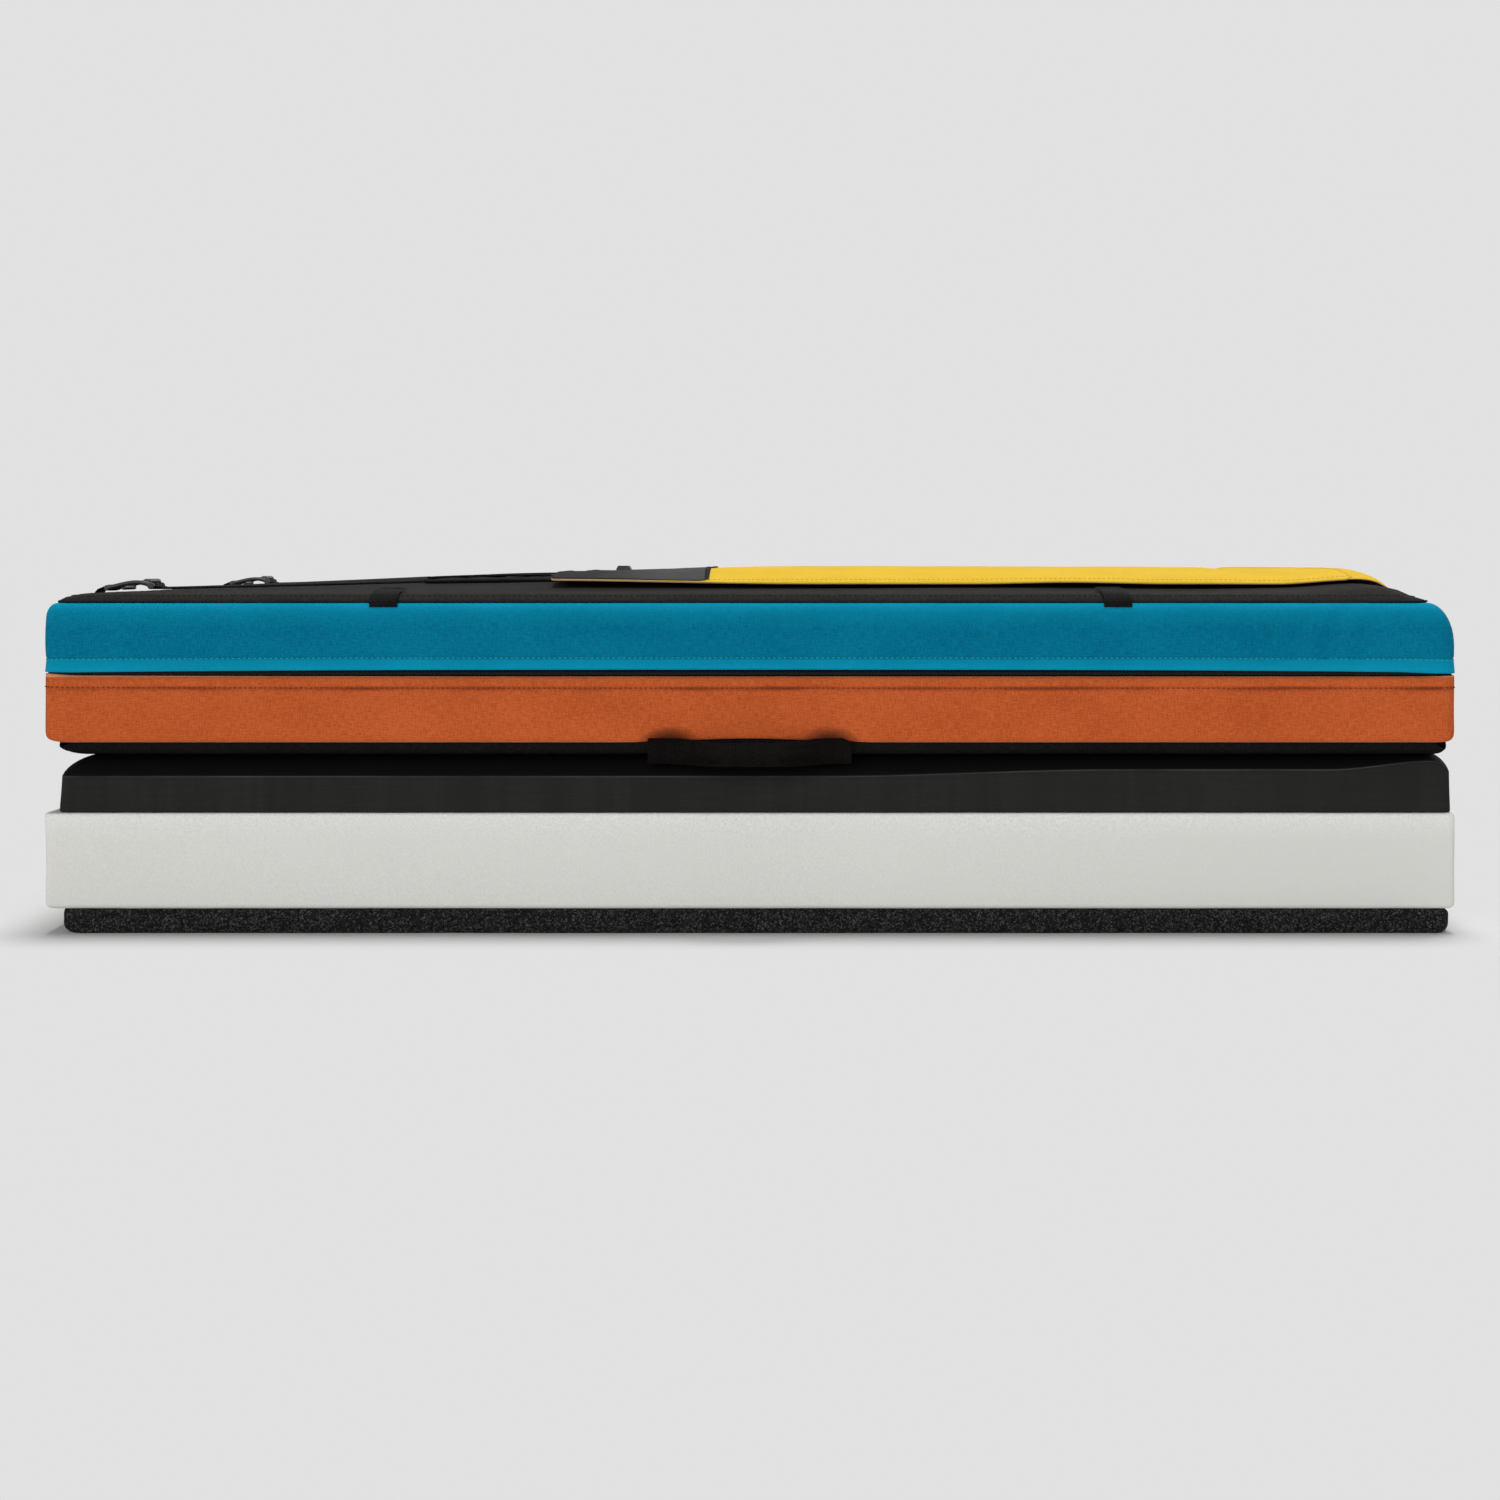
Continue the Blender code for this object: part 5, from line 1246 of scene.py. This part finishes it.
def shoulder_pad(side_name, side):
    """A stuffed shoulder pad in spacer mesh, swollen by a cloth simulation, bound round its edge."""
    inset = 0.0015
    half = PAD_WIDTH / 2 - inset
    xs = close_ends(PAD_START_X + inset, PAD_END_X - inset, 0.0070, 0.012, 4)
    x, offset = rounded_grid(xs, close_ends(-half, half, 0.0060, 0.008, 4), 0.010)
    y = strap_middle(x, side) + offset
    low = panel_top(x, y) + SLACK + 0.0002
    high = low + 0.0016 + (pad_crown(x) - SLACK - 0.0018) * (1 - np.abs(offset / half) ** 2.5)
    inside = np.zeros_like(x)
    inside[1:-1, 1:-1] = 1
    name = side_name + "_shoulder_pad_cover"
    rough = skin(name, np.dstack([x, y, high]), "strap_mesh")
    swollen = puffed(rough, inside == 0, 3.0)[:, 2].reshape(high.shape)
    high = high + np.clip(swollen - high, -0.0002, 0.0004) * inside
    bpy.data.objects.remove(rough)
    high = high + 0.00035 * waves(x, offset, 0.022, 71 + side) * inside
    top, bottom = np.dstack([x, y, high]), np.dstack([x, y, low])
    shell = skin(name, top, "strap_mesh")
    underside = skin(name + "_back", bottom, "strap_mesh", flip=True)
    rims = [np.concatenate([g[0], g[1:, -1], g[-1, -2::-1], g[-2:0:-1, 0]]) for g in (bottom, top)]
    edge = skin(name + "_edge", rims, "strap_mesh", closed=True)
    joined = [shell, underside, edge]
    with bpy.context.temp_override(active_object=shell, selected_editable_objects=joined, object=shell):
        bpy.ops.object.join()
    weld = shell.modifiers.new("weld", "WELD")
    weld.merge_threshold = 0.00005
    shell.data.shade_smooth()
    settle(shell, "strap_mesh", side_name + "_shoulder_pad")
    line = (sum(rims) / 2, (0, 0, 1), True)
    sew(side_name + "_pad_binding", [line], "black_webbing", PAD_BINDING, "black_webbing")


def straps(side_name, side):
    """A shoulder strap: webbing, pad, the webbing on the pad, and the two loops round the adjuster's bars."""
    across = (0, STRAP_WIDTH / 2, 0)
    xs = np.linspace(STRAP_START_X, STRAP_END_X, 60)
    path = on_panel(xs, side, strap_lift(xs))
    leaning = [(0, STRAP_WIDTH / 2, 0.0018 * run) for run in strap_run(xs)]
    laid = {"flat": (0.025, 0.197), "held": "laid", "rests_on": ["ground_panel"]}
    lay_webbing(side_name + "_strap", path, leaning, 0.0019, side_name + "_strap_webbing", **laid)
    shoulder_pad(side_name, side)
    xs = np.linspace(PAD_START_X + 0.0012, -0.1560, 40)
    path = on_panel(xs, side, pad_crown(xs) + 0.0012)
    laid = {"flat": (0.025, 0.093), "held": "laid", "rests_on": [side_name + "_shoulder_pad_cover"]}
    lay_webbing(side_name + "_pad_webbing", path, across, 0.0016, **laid)

    middle = strap_middle(BAR_X, side)
    loop_cloth, wall_x = 0.0010, LEFT_X + 0.0005
    path = [(wall_x, SEAM_Z - 0.0024), (wall_x, 0.2372), (wall_x, BAR_Z - 0.0052)]
    path += [(wall_x + 0.0008, BAR_Z - 0.0033), (wall_x + 0.0026, BAR_Z - 0.0013)]
    path += arc((BAR_X, BAR_Z), ANCHOR_BAR + FIT + loop_cloth / 2, range(125, -146, -15))
    path = [(x, middle, z) for x, z in path]
    laid = {"flat": (0.025, 0.029), "held": "folded", "rests_on": ["ground_panel"]}
    lay_webbing(side_name + "_anchor_strap", path, across, loop_cloth, side_name + "_anchor_webbing", **laid)

    bar = rail_line(1.0)
    radius = THREADING_BAR + FIT + loop_cloth / 2
    low = bar[1] - radius
    path = [(STRAP_START_X - FIT, low), (STRAP_START_X - 0.0022, low), *arc(bar, radius, range(270, 59, -15))]
    path += [(STRAP_START_X - 0.0030, low + 0.0016), (STRAP_START_X - FIT, low + 0.0012)]
    path = [(x, middle, z) for x, z in path]
    laid = {"flat": (0.025, 0.019), "held": "folded", "rests_on": [side_name + "_ladderlock"]}
    name, replaced, body = (side_name + end for end in ("_adjuster_loop", "_strap_loop", "_adjuster"))
    lay_webbing(name, path, across, loop_cloth, replaced, body=body, **laid)


# Adjusters

RAIL, ANCHOR_BAR, THREADING_BAR = 0.0017, 0.0011, 0.0013


def rail_line(share):
    """A point on an adjuster rail's middle line, from the anchor bar at 0 to the threading bar at 1."""
    return BAR_X + 0.0335 * share, BAR_Z + 0.0014 * share + 0.0032 * math.sin(math.pi * share**1.5) ** 0.8


def rod_mesh(points, radii, sides=20):
    """Vertices and faces of a rod along points in the XZ plane or along Y."""
    points = np.asarray(points, float)
    along = np.gradient(points, axis=0)
    along /= np.linalg.norm(along, axis=1, keepdims=True)
    side = np.array([0.0, 1.0, 0.0]) if abs(along[0][1]) < 0.5 else np.array([1.0, 0.0, 0.0])
    up = np.cross(along, side)
    turns = [math.tau * k / sides for k in range(sides)]
    rings = [points + side * (radii[0] * math.cos(a)) + up * (radii[1] * math.sin(a)) for a in turns]
    starts = [i * sides for i in range(len(points))]
    ring = [(j, (j + 1) % sides) for j in range(sides)]
    faces = [(i + j, i + k, i + sides + k, i + sides + j) for i in starts[:-1] for j, k in ring]
    faces += [tuple(range(sides))[::-1], tuple(starts[-1] + j for j in range(sides))]
    return np.stack(rings, axis=1).reshape(-1, 3), faces


def ladderlock(side_name, side):
    """A moulded strap adjuster: arched rails, anchor bar, foot bar, threading bar and ribbed lifting lip."""
    middle = strap_middle(BAR_X, side)
    reach = STRAP_WIDTH / 2 + 0.0007 + RAIL

    def crossbar(x, z, radii, half=reach, sides=20):
        return rod_mesh([(x, middle + half * k, z) for k in (-1, 0, 1)], radii, sides)

    parts = []
    for y in (middle - reach, middle + reach):
        rail = [rail_line(k / 24) for k in range(25)]
        parts.append(rod_mesh([(x, y, z) for x, z in rail], (RAIL, RAIL), 16))
        for share, radius in ((0.0, 0.0021), (1.0, 0.0026)):
            x, z = rail_line(share)
            parts.append(rod_mesh([(x, y + RAIL * k, z) for k in (-1, 0, 1)], (radius, radius)))
    foot_x, foot_z = rail_line(0.37)
    lip_x, lip_z = rail_line(0.87)
    parts.append(crossbar(*rail_line(0.0), (ANCHOR_BAR, ANCHOR_BAR)))
    parts.append(crossbar(*rail_line(1.0), (THREADING_BAR, THREADING_BAR)))
    parts.append(crossbar(foot_x, foot_z - 0.0029, (0.0018, 0.0015)))
    parts.append(crossbar(lip_x + 0.0010, lip_z + 0.0018, (0.0032, 0.0016)))
    for k in range(3):
        parts.append(crossbar(lip_x - 0.0008 + 0.0018 * k, lip_z + 0.0032, (0.0005, 0.0005), 0.8 * reach, 10))
    vertices, faces = [], []
    for points, quads in parts:
        faces += [tuple(len(vertices) + v for v in quad) for quad in quads]
        vertices += points.tolist()
    mesh = bpy.data.meshes.new(side_name + "_ladderlock_rough")
    mesh.from_pydata(vertices, [], faces)
    rough = link(side_name + "_ladderlock_rough", mesh)
    fuse = rough.modifiers.new("fuse", "REMESH")
    fuse.mode = "VOXEL"
    fuse.voxel_size = 0.00034
    soften = rough.modifiers.new("soften", "SMOOTH")
    soften.factor, soften.iterations = 0.5, 5
    piece = applied(rough, side_name + "_strap_adjuster")
    piece.data.materials.clear()
    piece.data.materials.append(LOOKS["buckle_plastic"])
    settle(piece, "buckle_plastic", side_name + "_ladderlock", body=side_name + "_adjuster")


def top_band():
    """The webbing sewn across the pads' top ends, with a box of stitches over each."""
    ys = np.linspace(MID_Y - TOP_BAND_LENGTH / 2, MID_Y + TOP_BAND_LENGTH / 2, 60)
    x0, x1 = PAD_END_X + FIT, PAD_END_X + FIT + STRAP_WIDTH
    xs = np.full_like(ys, PAD_END_X + FIT + STRAP_WIDTH / 2)
    path = np.column_stack([xs, ys, panel_top(xs, ys) + SLACK + 0.0007])
    laid = {"flat": (0.025, 0.338), "held": "laid", "rests_on": ["ground_panel"]}
    lay_webbing("top_sewn_band", path, (-STRAP_WIDTH / 2, 0, 0), 0.0013, "strap_top_band", **laid)
    lines = box_stitch(x0, x1, ys[0], MID_Y - 0.06, 0.0015, cross=False)
    lines += box_stitch(x0, x1, MID_Y + 0.06, ys[-1], 0.0015, cross=False)
    sew("top_band_stitches", lines, "black_thread", BAND_STITCH, "black_webbing")


# Flap


def flap_surface(name, look, x0, x1, inset, lift, thickness, pitch, radius, rim_look=None):
    """A sheet at the flap's height between two places, with its sides drawn in by an inset."""
    xs = close_ends(x0, x1, pitch, min(0.02, (x1 - x0) / 4), 4)
    ys = close_ends(MID_Y - FLAP_WIDTH / 2 + inset, MID_Y + FLAP_WIDTH / 2 - inset, pitch)
    x, y = rounded_grid(xs, ys, radius)
    grid = np.dstack([x, y, flap_height(x, y) + lift])
    return skin(name, grid, look, thickness=thickness, rim_look=rim_look)


def flap_line(xs, ys, lift):
    """A line of stitches on the flap."""
    xs, ys = np.broadcast_arrays(xs, ys)
    return np.column_stack([xs, ys, flap_height(xs, ys) + lift]), (0, 0, 1), False


def flap():
    """The flap with its lining, its patch and its sewn root."""
    ends, sizes = (FLAP_START_X, FLAP_END_X), (0.0, 0.0, FLAP_CLOTH, 0.0065, 0.006)
    cloth = flap_surface("yellow_flap", "yellow_fabric", *ends, *sizes, "flap_lining")
    pads = ["near_shoulder_pad_cover", "far_shoulder_pad_cover"]
    laid = {"flat": (0.596, 0.510), "held": "laid", "rests_on": pads}
    settle(cloth, "yellow_fabric", "flap", body="strap_flap", **laid)
    ends, sizes = (PATCH_START_X, PATCH_END_X), (0.0004, 0.0009, PATCH_CLOTH, 0.0055, 0.005)
    patch = flap_surface("black_flap_patch", "patch_fabric", *ends, *sizes)
    laid = {"flat": (0.115, 0.508), "held": "laid", "rests_on": ["yellow_flap"]}
    settle(patch, "patch_fabric", "flap_patch", body="strap_flap", **laid)
    ends, sizes = (ROOT_START_X, ROOT_END_X), (0.0006, -0.0006, ROOT_CLOTH, 0.0065, 0.0005)
    root = flap_surface("yellow_flap_root", "yellow_fabric", *ends, *sizes, "flap_lining")
    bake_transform(root)
    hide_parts("flap_seam_strip")


def flap_stitches():
    """The patch's zigzag and edge stitches, those at the flap's root, and those along its two side hems."""
    ys = np.linspace(MID_Y - 0.252, MID_Y + 0.252, 90)
    patch_edge_x, root_x, hem_inset = -0.1430, 0.4455, 0.0045
    for name, x, lift, look, slot, sizes, slant in (
        ("patch_zigzag_stitches", PATCH_END_X, 0.0010, "black_thread", "patch_fabric", ZIGZAG, 1.05),
        ("patch_edge_stitches", patch_edge_x, 0.0010, "black_thread", "patch_fabric", FLAP_STITCH, 0.0),
        ("flap_root_stitches", root_x, 0.0001, "yellow_thread", "yellow_fabric", FLAP_STITCH, 0.0),
    ):
        sew(name, [flap_line(x, ys, lift)], look, sizes, slot, body="strap_flap", slant=slant)
    xs = np.linspace(-0.0300, FLAP_END_X - 0.004, 110)
    hem_y = FLAP_WIDTH / 2 - hem_inset
    lines = [flap_line(xs, MID_Y + side * hem_y, 0.0001) for side in (NEAR, FAR)]
    sew("flap_hem_stitches", lines, "yellow_thread", FLAP_HEM_STITCH, "yellow_fabric", body="strap_flap")


def hold_strap_lift(x):
    """Height of the hold strap's underside: on the panel, then up over the flap's free end and its patch."""
    start, edge = -0.2380, FLAP_START_X - 0.0012
    ground = panel_top(x, MID_Y) + SLACK
    patch = flap_height(np.maximum(x, FLAP_START_X), MID_Y) + 0.0011
    return np.where(x < edge, ground + (patch - ground) * smooth((x - start) / (edge - start)), patch)


def hold_strap():
    """The strap that holds the flap down, and the sewn tab that it leads to."""
    webbing = 0.0012
    half = (0, TAPE_WIDTH / 2, 0)
    xs = np.linspace(-0.2640, -0.0960, 80)
    path = np.column_stack([xs, np.full_like(xs, MID_Y), hold_strap_lift(xs) + webbing / 2])
    laid = {"flat": (0.020, 0.169), "held": "laid", "rests_on": ["black_flap_patch", "ground_panel"]}
    lay_webbing("hold_down_strap", path, half, webbing, "hold_strap", body="strap_flap", **laid)
    xs = np.linspace(-0.2993, -0.2643, 16)
    path = np.column_stack([xs, np.full_like(xs, MID_Y), panel_top(xs, MID_Y) + SLACK + webbing / 2])
    laid = {"flat": (0.020, 0.035), "held": "laid", "rests_on": ["ground_panel"]}
    lay_webbing("hold_strap_tab", path, half, webbing, "hold_strap_anchor", **laid)
    lines = box_stitch(-0.2985, -0.2700, MID_Y - 0.0095, MID_Y + 0.0095, 0.0014)
    sew("hold_tab_stitches", lines, "black_thread", BOX_STITCH, "black_webbing")


# Link tabs and carry handle


def link_tab(name, x, replaced):
    """Folded webbing down the panel's front slope and over the seam, with its sewn box."""
    webbing = 0.0014
    start = PANEL_BOX[2]
    ys = start + 0.042 * (1 - np.cos(np.linspace(math.pi / 2, 0.20, 18)))
    path = [(y, float(panel_top(x, y)) + SLACK + webbing / 2) for y in ys]
    face = FRONT_Y - FIT - webbing / 2
    path += [(start - 0.0002, SEAM_Z + 0.0040), (face + 0.0002, SEAM_Z + 0.0017)]
    path += [(face, SEAM_Z), (face, SEAM_Z - 0.0030)]
    path = [(x, y, z) for y, z in path]
    laid = {"flat": (0.020, 0.051), "held": "folded", "rests_on": ["ground_panel"]}
    lay_webbing(name, path, (TAPE_WIDTH / 2, 0, 0), webbing, replaced, **laid)
    lines = box_stitch(x - 0.0095, x + 0.0095, start + 0.024, start + 0.041, 0.0016)
    sew(name + "_stitches", lines, "black_thread", BOX_STITCH, "black_webbing")


def handle_frame(x):
    """The handle's middle point, half width and outward direction at a place along it.

    Its free middle bows out and leans, and its right end's top corner is folded under.
    """
    bow = float(smooth((0.0600 - abs(x)) / 0.0450))
    lean = math.radians(30) * bow
    folded = 0.0013 * float(smooth((x - 0.0650) / 0.0070))
    point = (x, FRONT_Y - FIT - HANDLE_WEBBING / 2 - 0.0220 * bow, HANDLE_Z - 0.0010 * bow - folded)
    half = 0.0092 - folded
    return point, (0, half * math.sin(lean), half * math.cos(lean)), (0, -math.cos(lean), math.sin(lean))


def handle():
    """The carry handle: two sewn ends and the free middle, with their ribs."""
    for name, replaced, body, low, high in (
        ("left_handle_end", "handle_left_end", "upper_half", -HANDLE_X, -HANDLE_GRIP_X - FIT),
        ("handle_loop", "handle_grip", "carry_handle", -HANDLE_GRIP_X, HANDLE_GRIP_X),
        ("right_handle_end", "handle_right_end", "upper_half", HANDLE_GRIP_X + FIT, HANDLE_X),
    ):
        frames = [handle_frame(x) for x in np.linspace(low, high, 40)]
        path, halves, outs = (np.array(row) for row in zip(*frames))
        laid = {"flat": (0.020, (high - low) * 1.04), "held": "laid", "rests_on": ["orange_band"]}
        look = "shaded_handle_webbing"
        lay_webbing(name, path, halves, HANDLE_WEBBING, replaced, up=outs, look=look, body=body, **laid)
        whole = np.linalg.norm(halves, axis=1) > 0.0090
        line = ((path + outs * HANDLE_WEBBING / 2)[whole], outs[whole], False)
        sew(name + "_ribs", [line], look, HANDLE_RIB, "black_webbing", body=body, bars=True)


# Fittings that keep their solids


def fittings():
    """Gives the zip sliders, their pulls and the hold strap's slider their finishes."""
    for name in ("left_zip_slider", "right_zip_slider", "left_pull_tab", "right_pull_tab"):
        nodes[name].material_slots[0].material = LOOKS["zip_metal"]
    nodes["hold_strap_slider"].material_slots[0].material = LOOKS["buckle_plastic"]


# Floor, light and camera

BACKDROP = (0.757, 0.757, 0.757, 1.0)


def floor():
    """A pale floor that glows like the backdrop away from the pad, lying folded or open."""
    made = Finish("floor_look", Roughness=0.9, Specular_IOR_Level=0.0)
    place = made.place()
    fleck = made.noise(place, 40, 2.0)
    made.feed("Base Color", made.mix(fleck, (0.700, 0.700, 0.704), (0.716, 0.716, 0.718)))
    aside = (abs(made.along(place, 0)) - RIGHT_X).above_zero()
    ahead = (abs(made.along(place, 1) - FOLD_Y) - (FOLD_Y - FRONT_Y)).above_zero()
    distance = (aside * aside + ahead * ahead) ** 0.5
    far = made.step(distance, 0.012, 0.085, 1.0)
    shaded = Value(made, made.shader.outputs[0])
    glow = made.node("ShaderNodeEmission", sockets={"Color": BACKDROP, "Strength": 1.0})
    both = made.node("ShaderNodeMixShader", sockets={0: far * made.seen(), 1: shaded, 2: glow})
    made.tree.links.new(both.socket, made.tree.nodes["Material Output"].inputs["Surface"])
    mesh = bpy.data.meshes.new("floor")
    reach = 30.0
    corners = [(-reach, -reach, 0), (reach, -reach, 0), (reach, reach, 0), (-reach, reach, 0)]
    mesh.from_pydata(corners, [], [(0, 1, 2, 3)])
    mesh.materials.append(made.material)
    link("floor", mesh)


def lights():
    """An even backdrop, soft light from all round, and three broad suns."""
    world = bpy.data.worlds.new("studio")
    bpy.context.scene.world = world
    world.use_nodes = True
    sky = Nodes(world.node_tree)
    shown = sky.node("ShaderNodeBackground", sockets={"Color": BACKDROP, "Strength": 1.0})
    light = sky.node("ShaderNodeBackground", sockets={"Color": (1.0, 1.0, 1.0, 1.0), "Strength": 0.30})
    both = sky.node("ShaderNodeMixShader", sockets={0: sky.seen(), 1: light, 2: shown})
    world.node_tree.links.new(both.socket, world.node_tree.nodes["World Output"].inputs["Surface"])
    for name, power, spread, direction in (
        ("soft_overhead", 2.05, 20, (0.05, 0.16, 1.0)),
        ("soft_front", 1.95, 50, (-0.25, -1.0, 0.14)),
        ("soft_rear", 0.55, 60, (0.70, 1.0, 0.35)),
    ):
        lamp = bpy.data.lights.new(name, "SUN")
        lamp.energy = power
        lamp.angle = math.radians(spread)
        holder = link(name, lamp)
        holder.rotation_mode = "QUATERNION"
        holder.rotation_quaternion = Vector(direction).to_track_quat("Z", "Y")


def camera():
    """Looks level and square on at the front, from 1.54 m away, a little above the pad."""
    eye = bpy.data.cameras.new("camera")
    eye.lens = 52.12
    eye.sensor_width = 36.0
    eye.shift_y = -0.12367
    eye.clip_end = 100.0
    holder = link("camera", eye)
    holder.location = (0.0, FRONT_Y - 1.54, 0.2619)
    holder.rotation_euler = (math.pi / 2, 0, 0)
    bpy.context.scene.camera = holder


camera()
lower_half()
filling()
cover_walls()
cover_stitches()
zip_line()
ground_side_panel()
landing_side_panel()
seam_cord()
panel_stitches()
fold_fabric()
for side_name, side in (("near", NEAR), ("far", FAR)):
    straps(side_name, side)
    ladderlock(side_name, side)
top_band()
flap()
flap_stitches()
hold_strap()
link_tab("left_tab", -0.2600, "left_link_tab")
link_tab("right_tab", 0.2610, "right_link_tab")
handle()
fittings()
floor()
lights()
bpy.context.scene.view_settings.view_transform = "Standard"
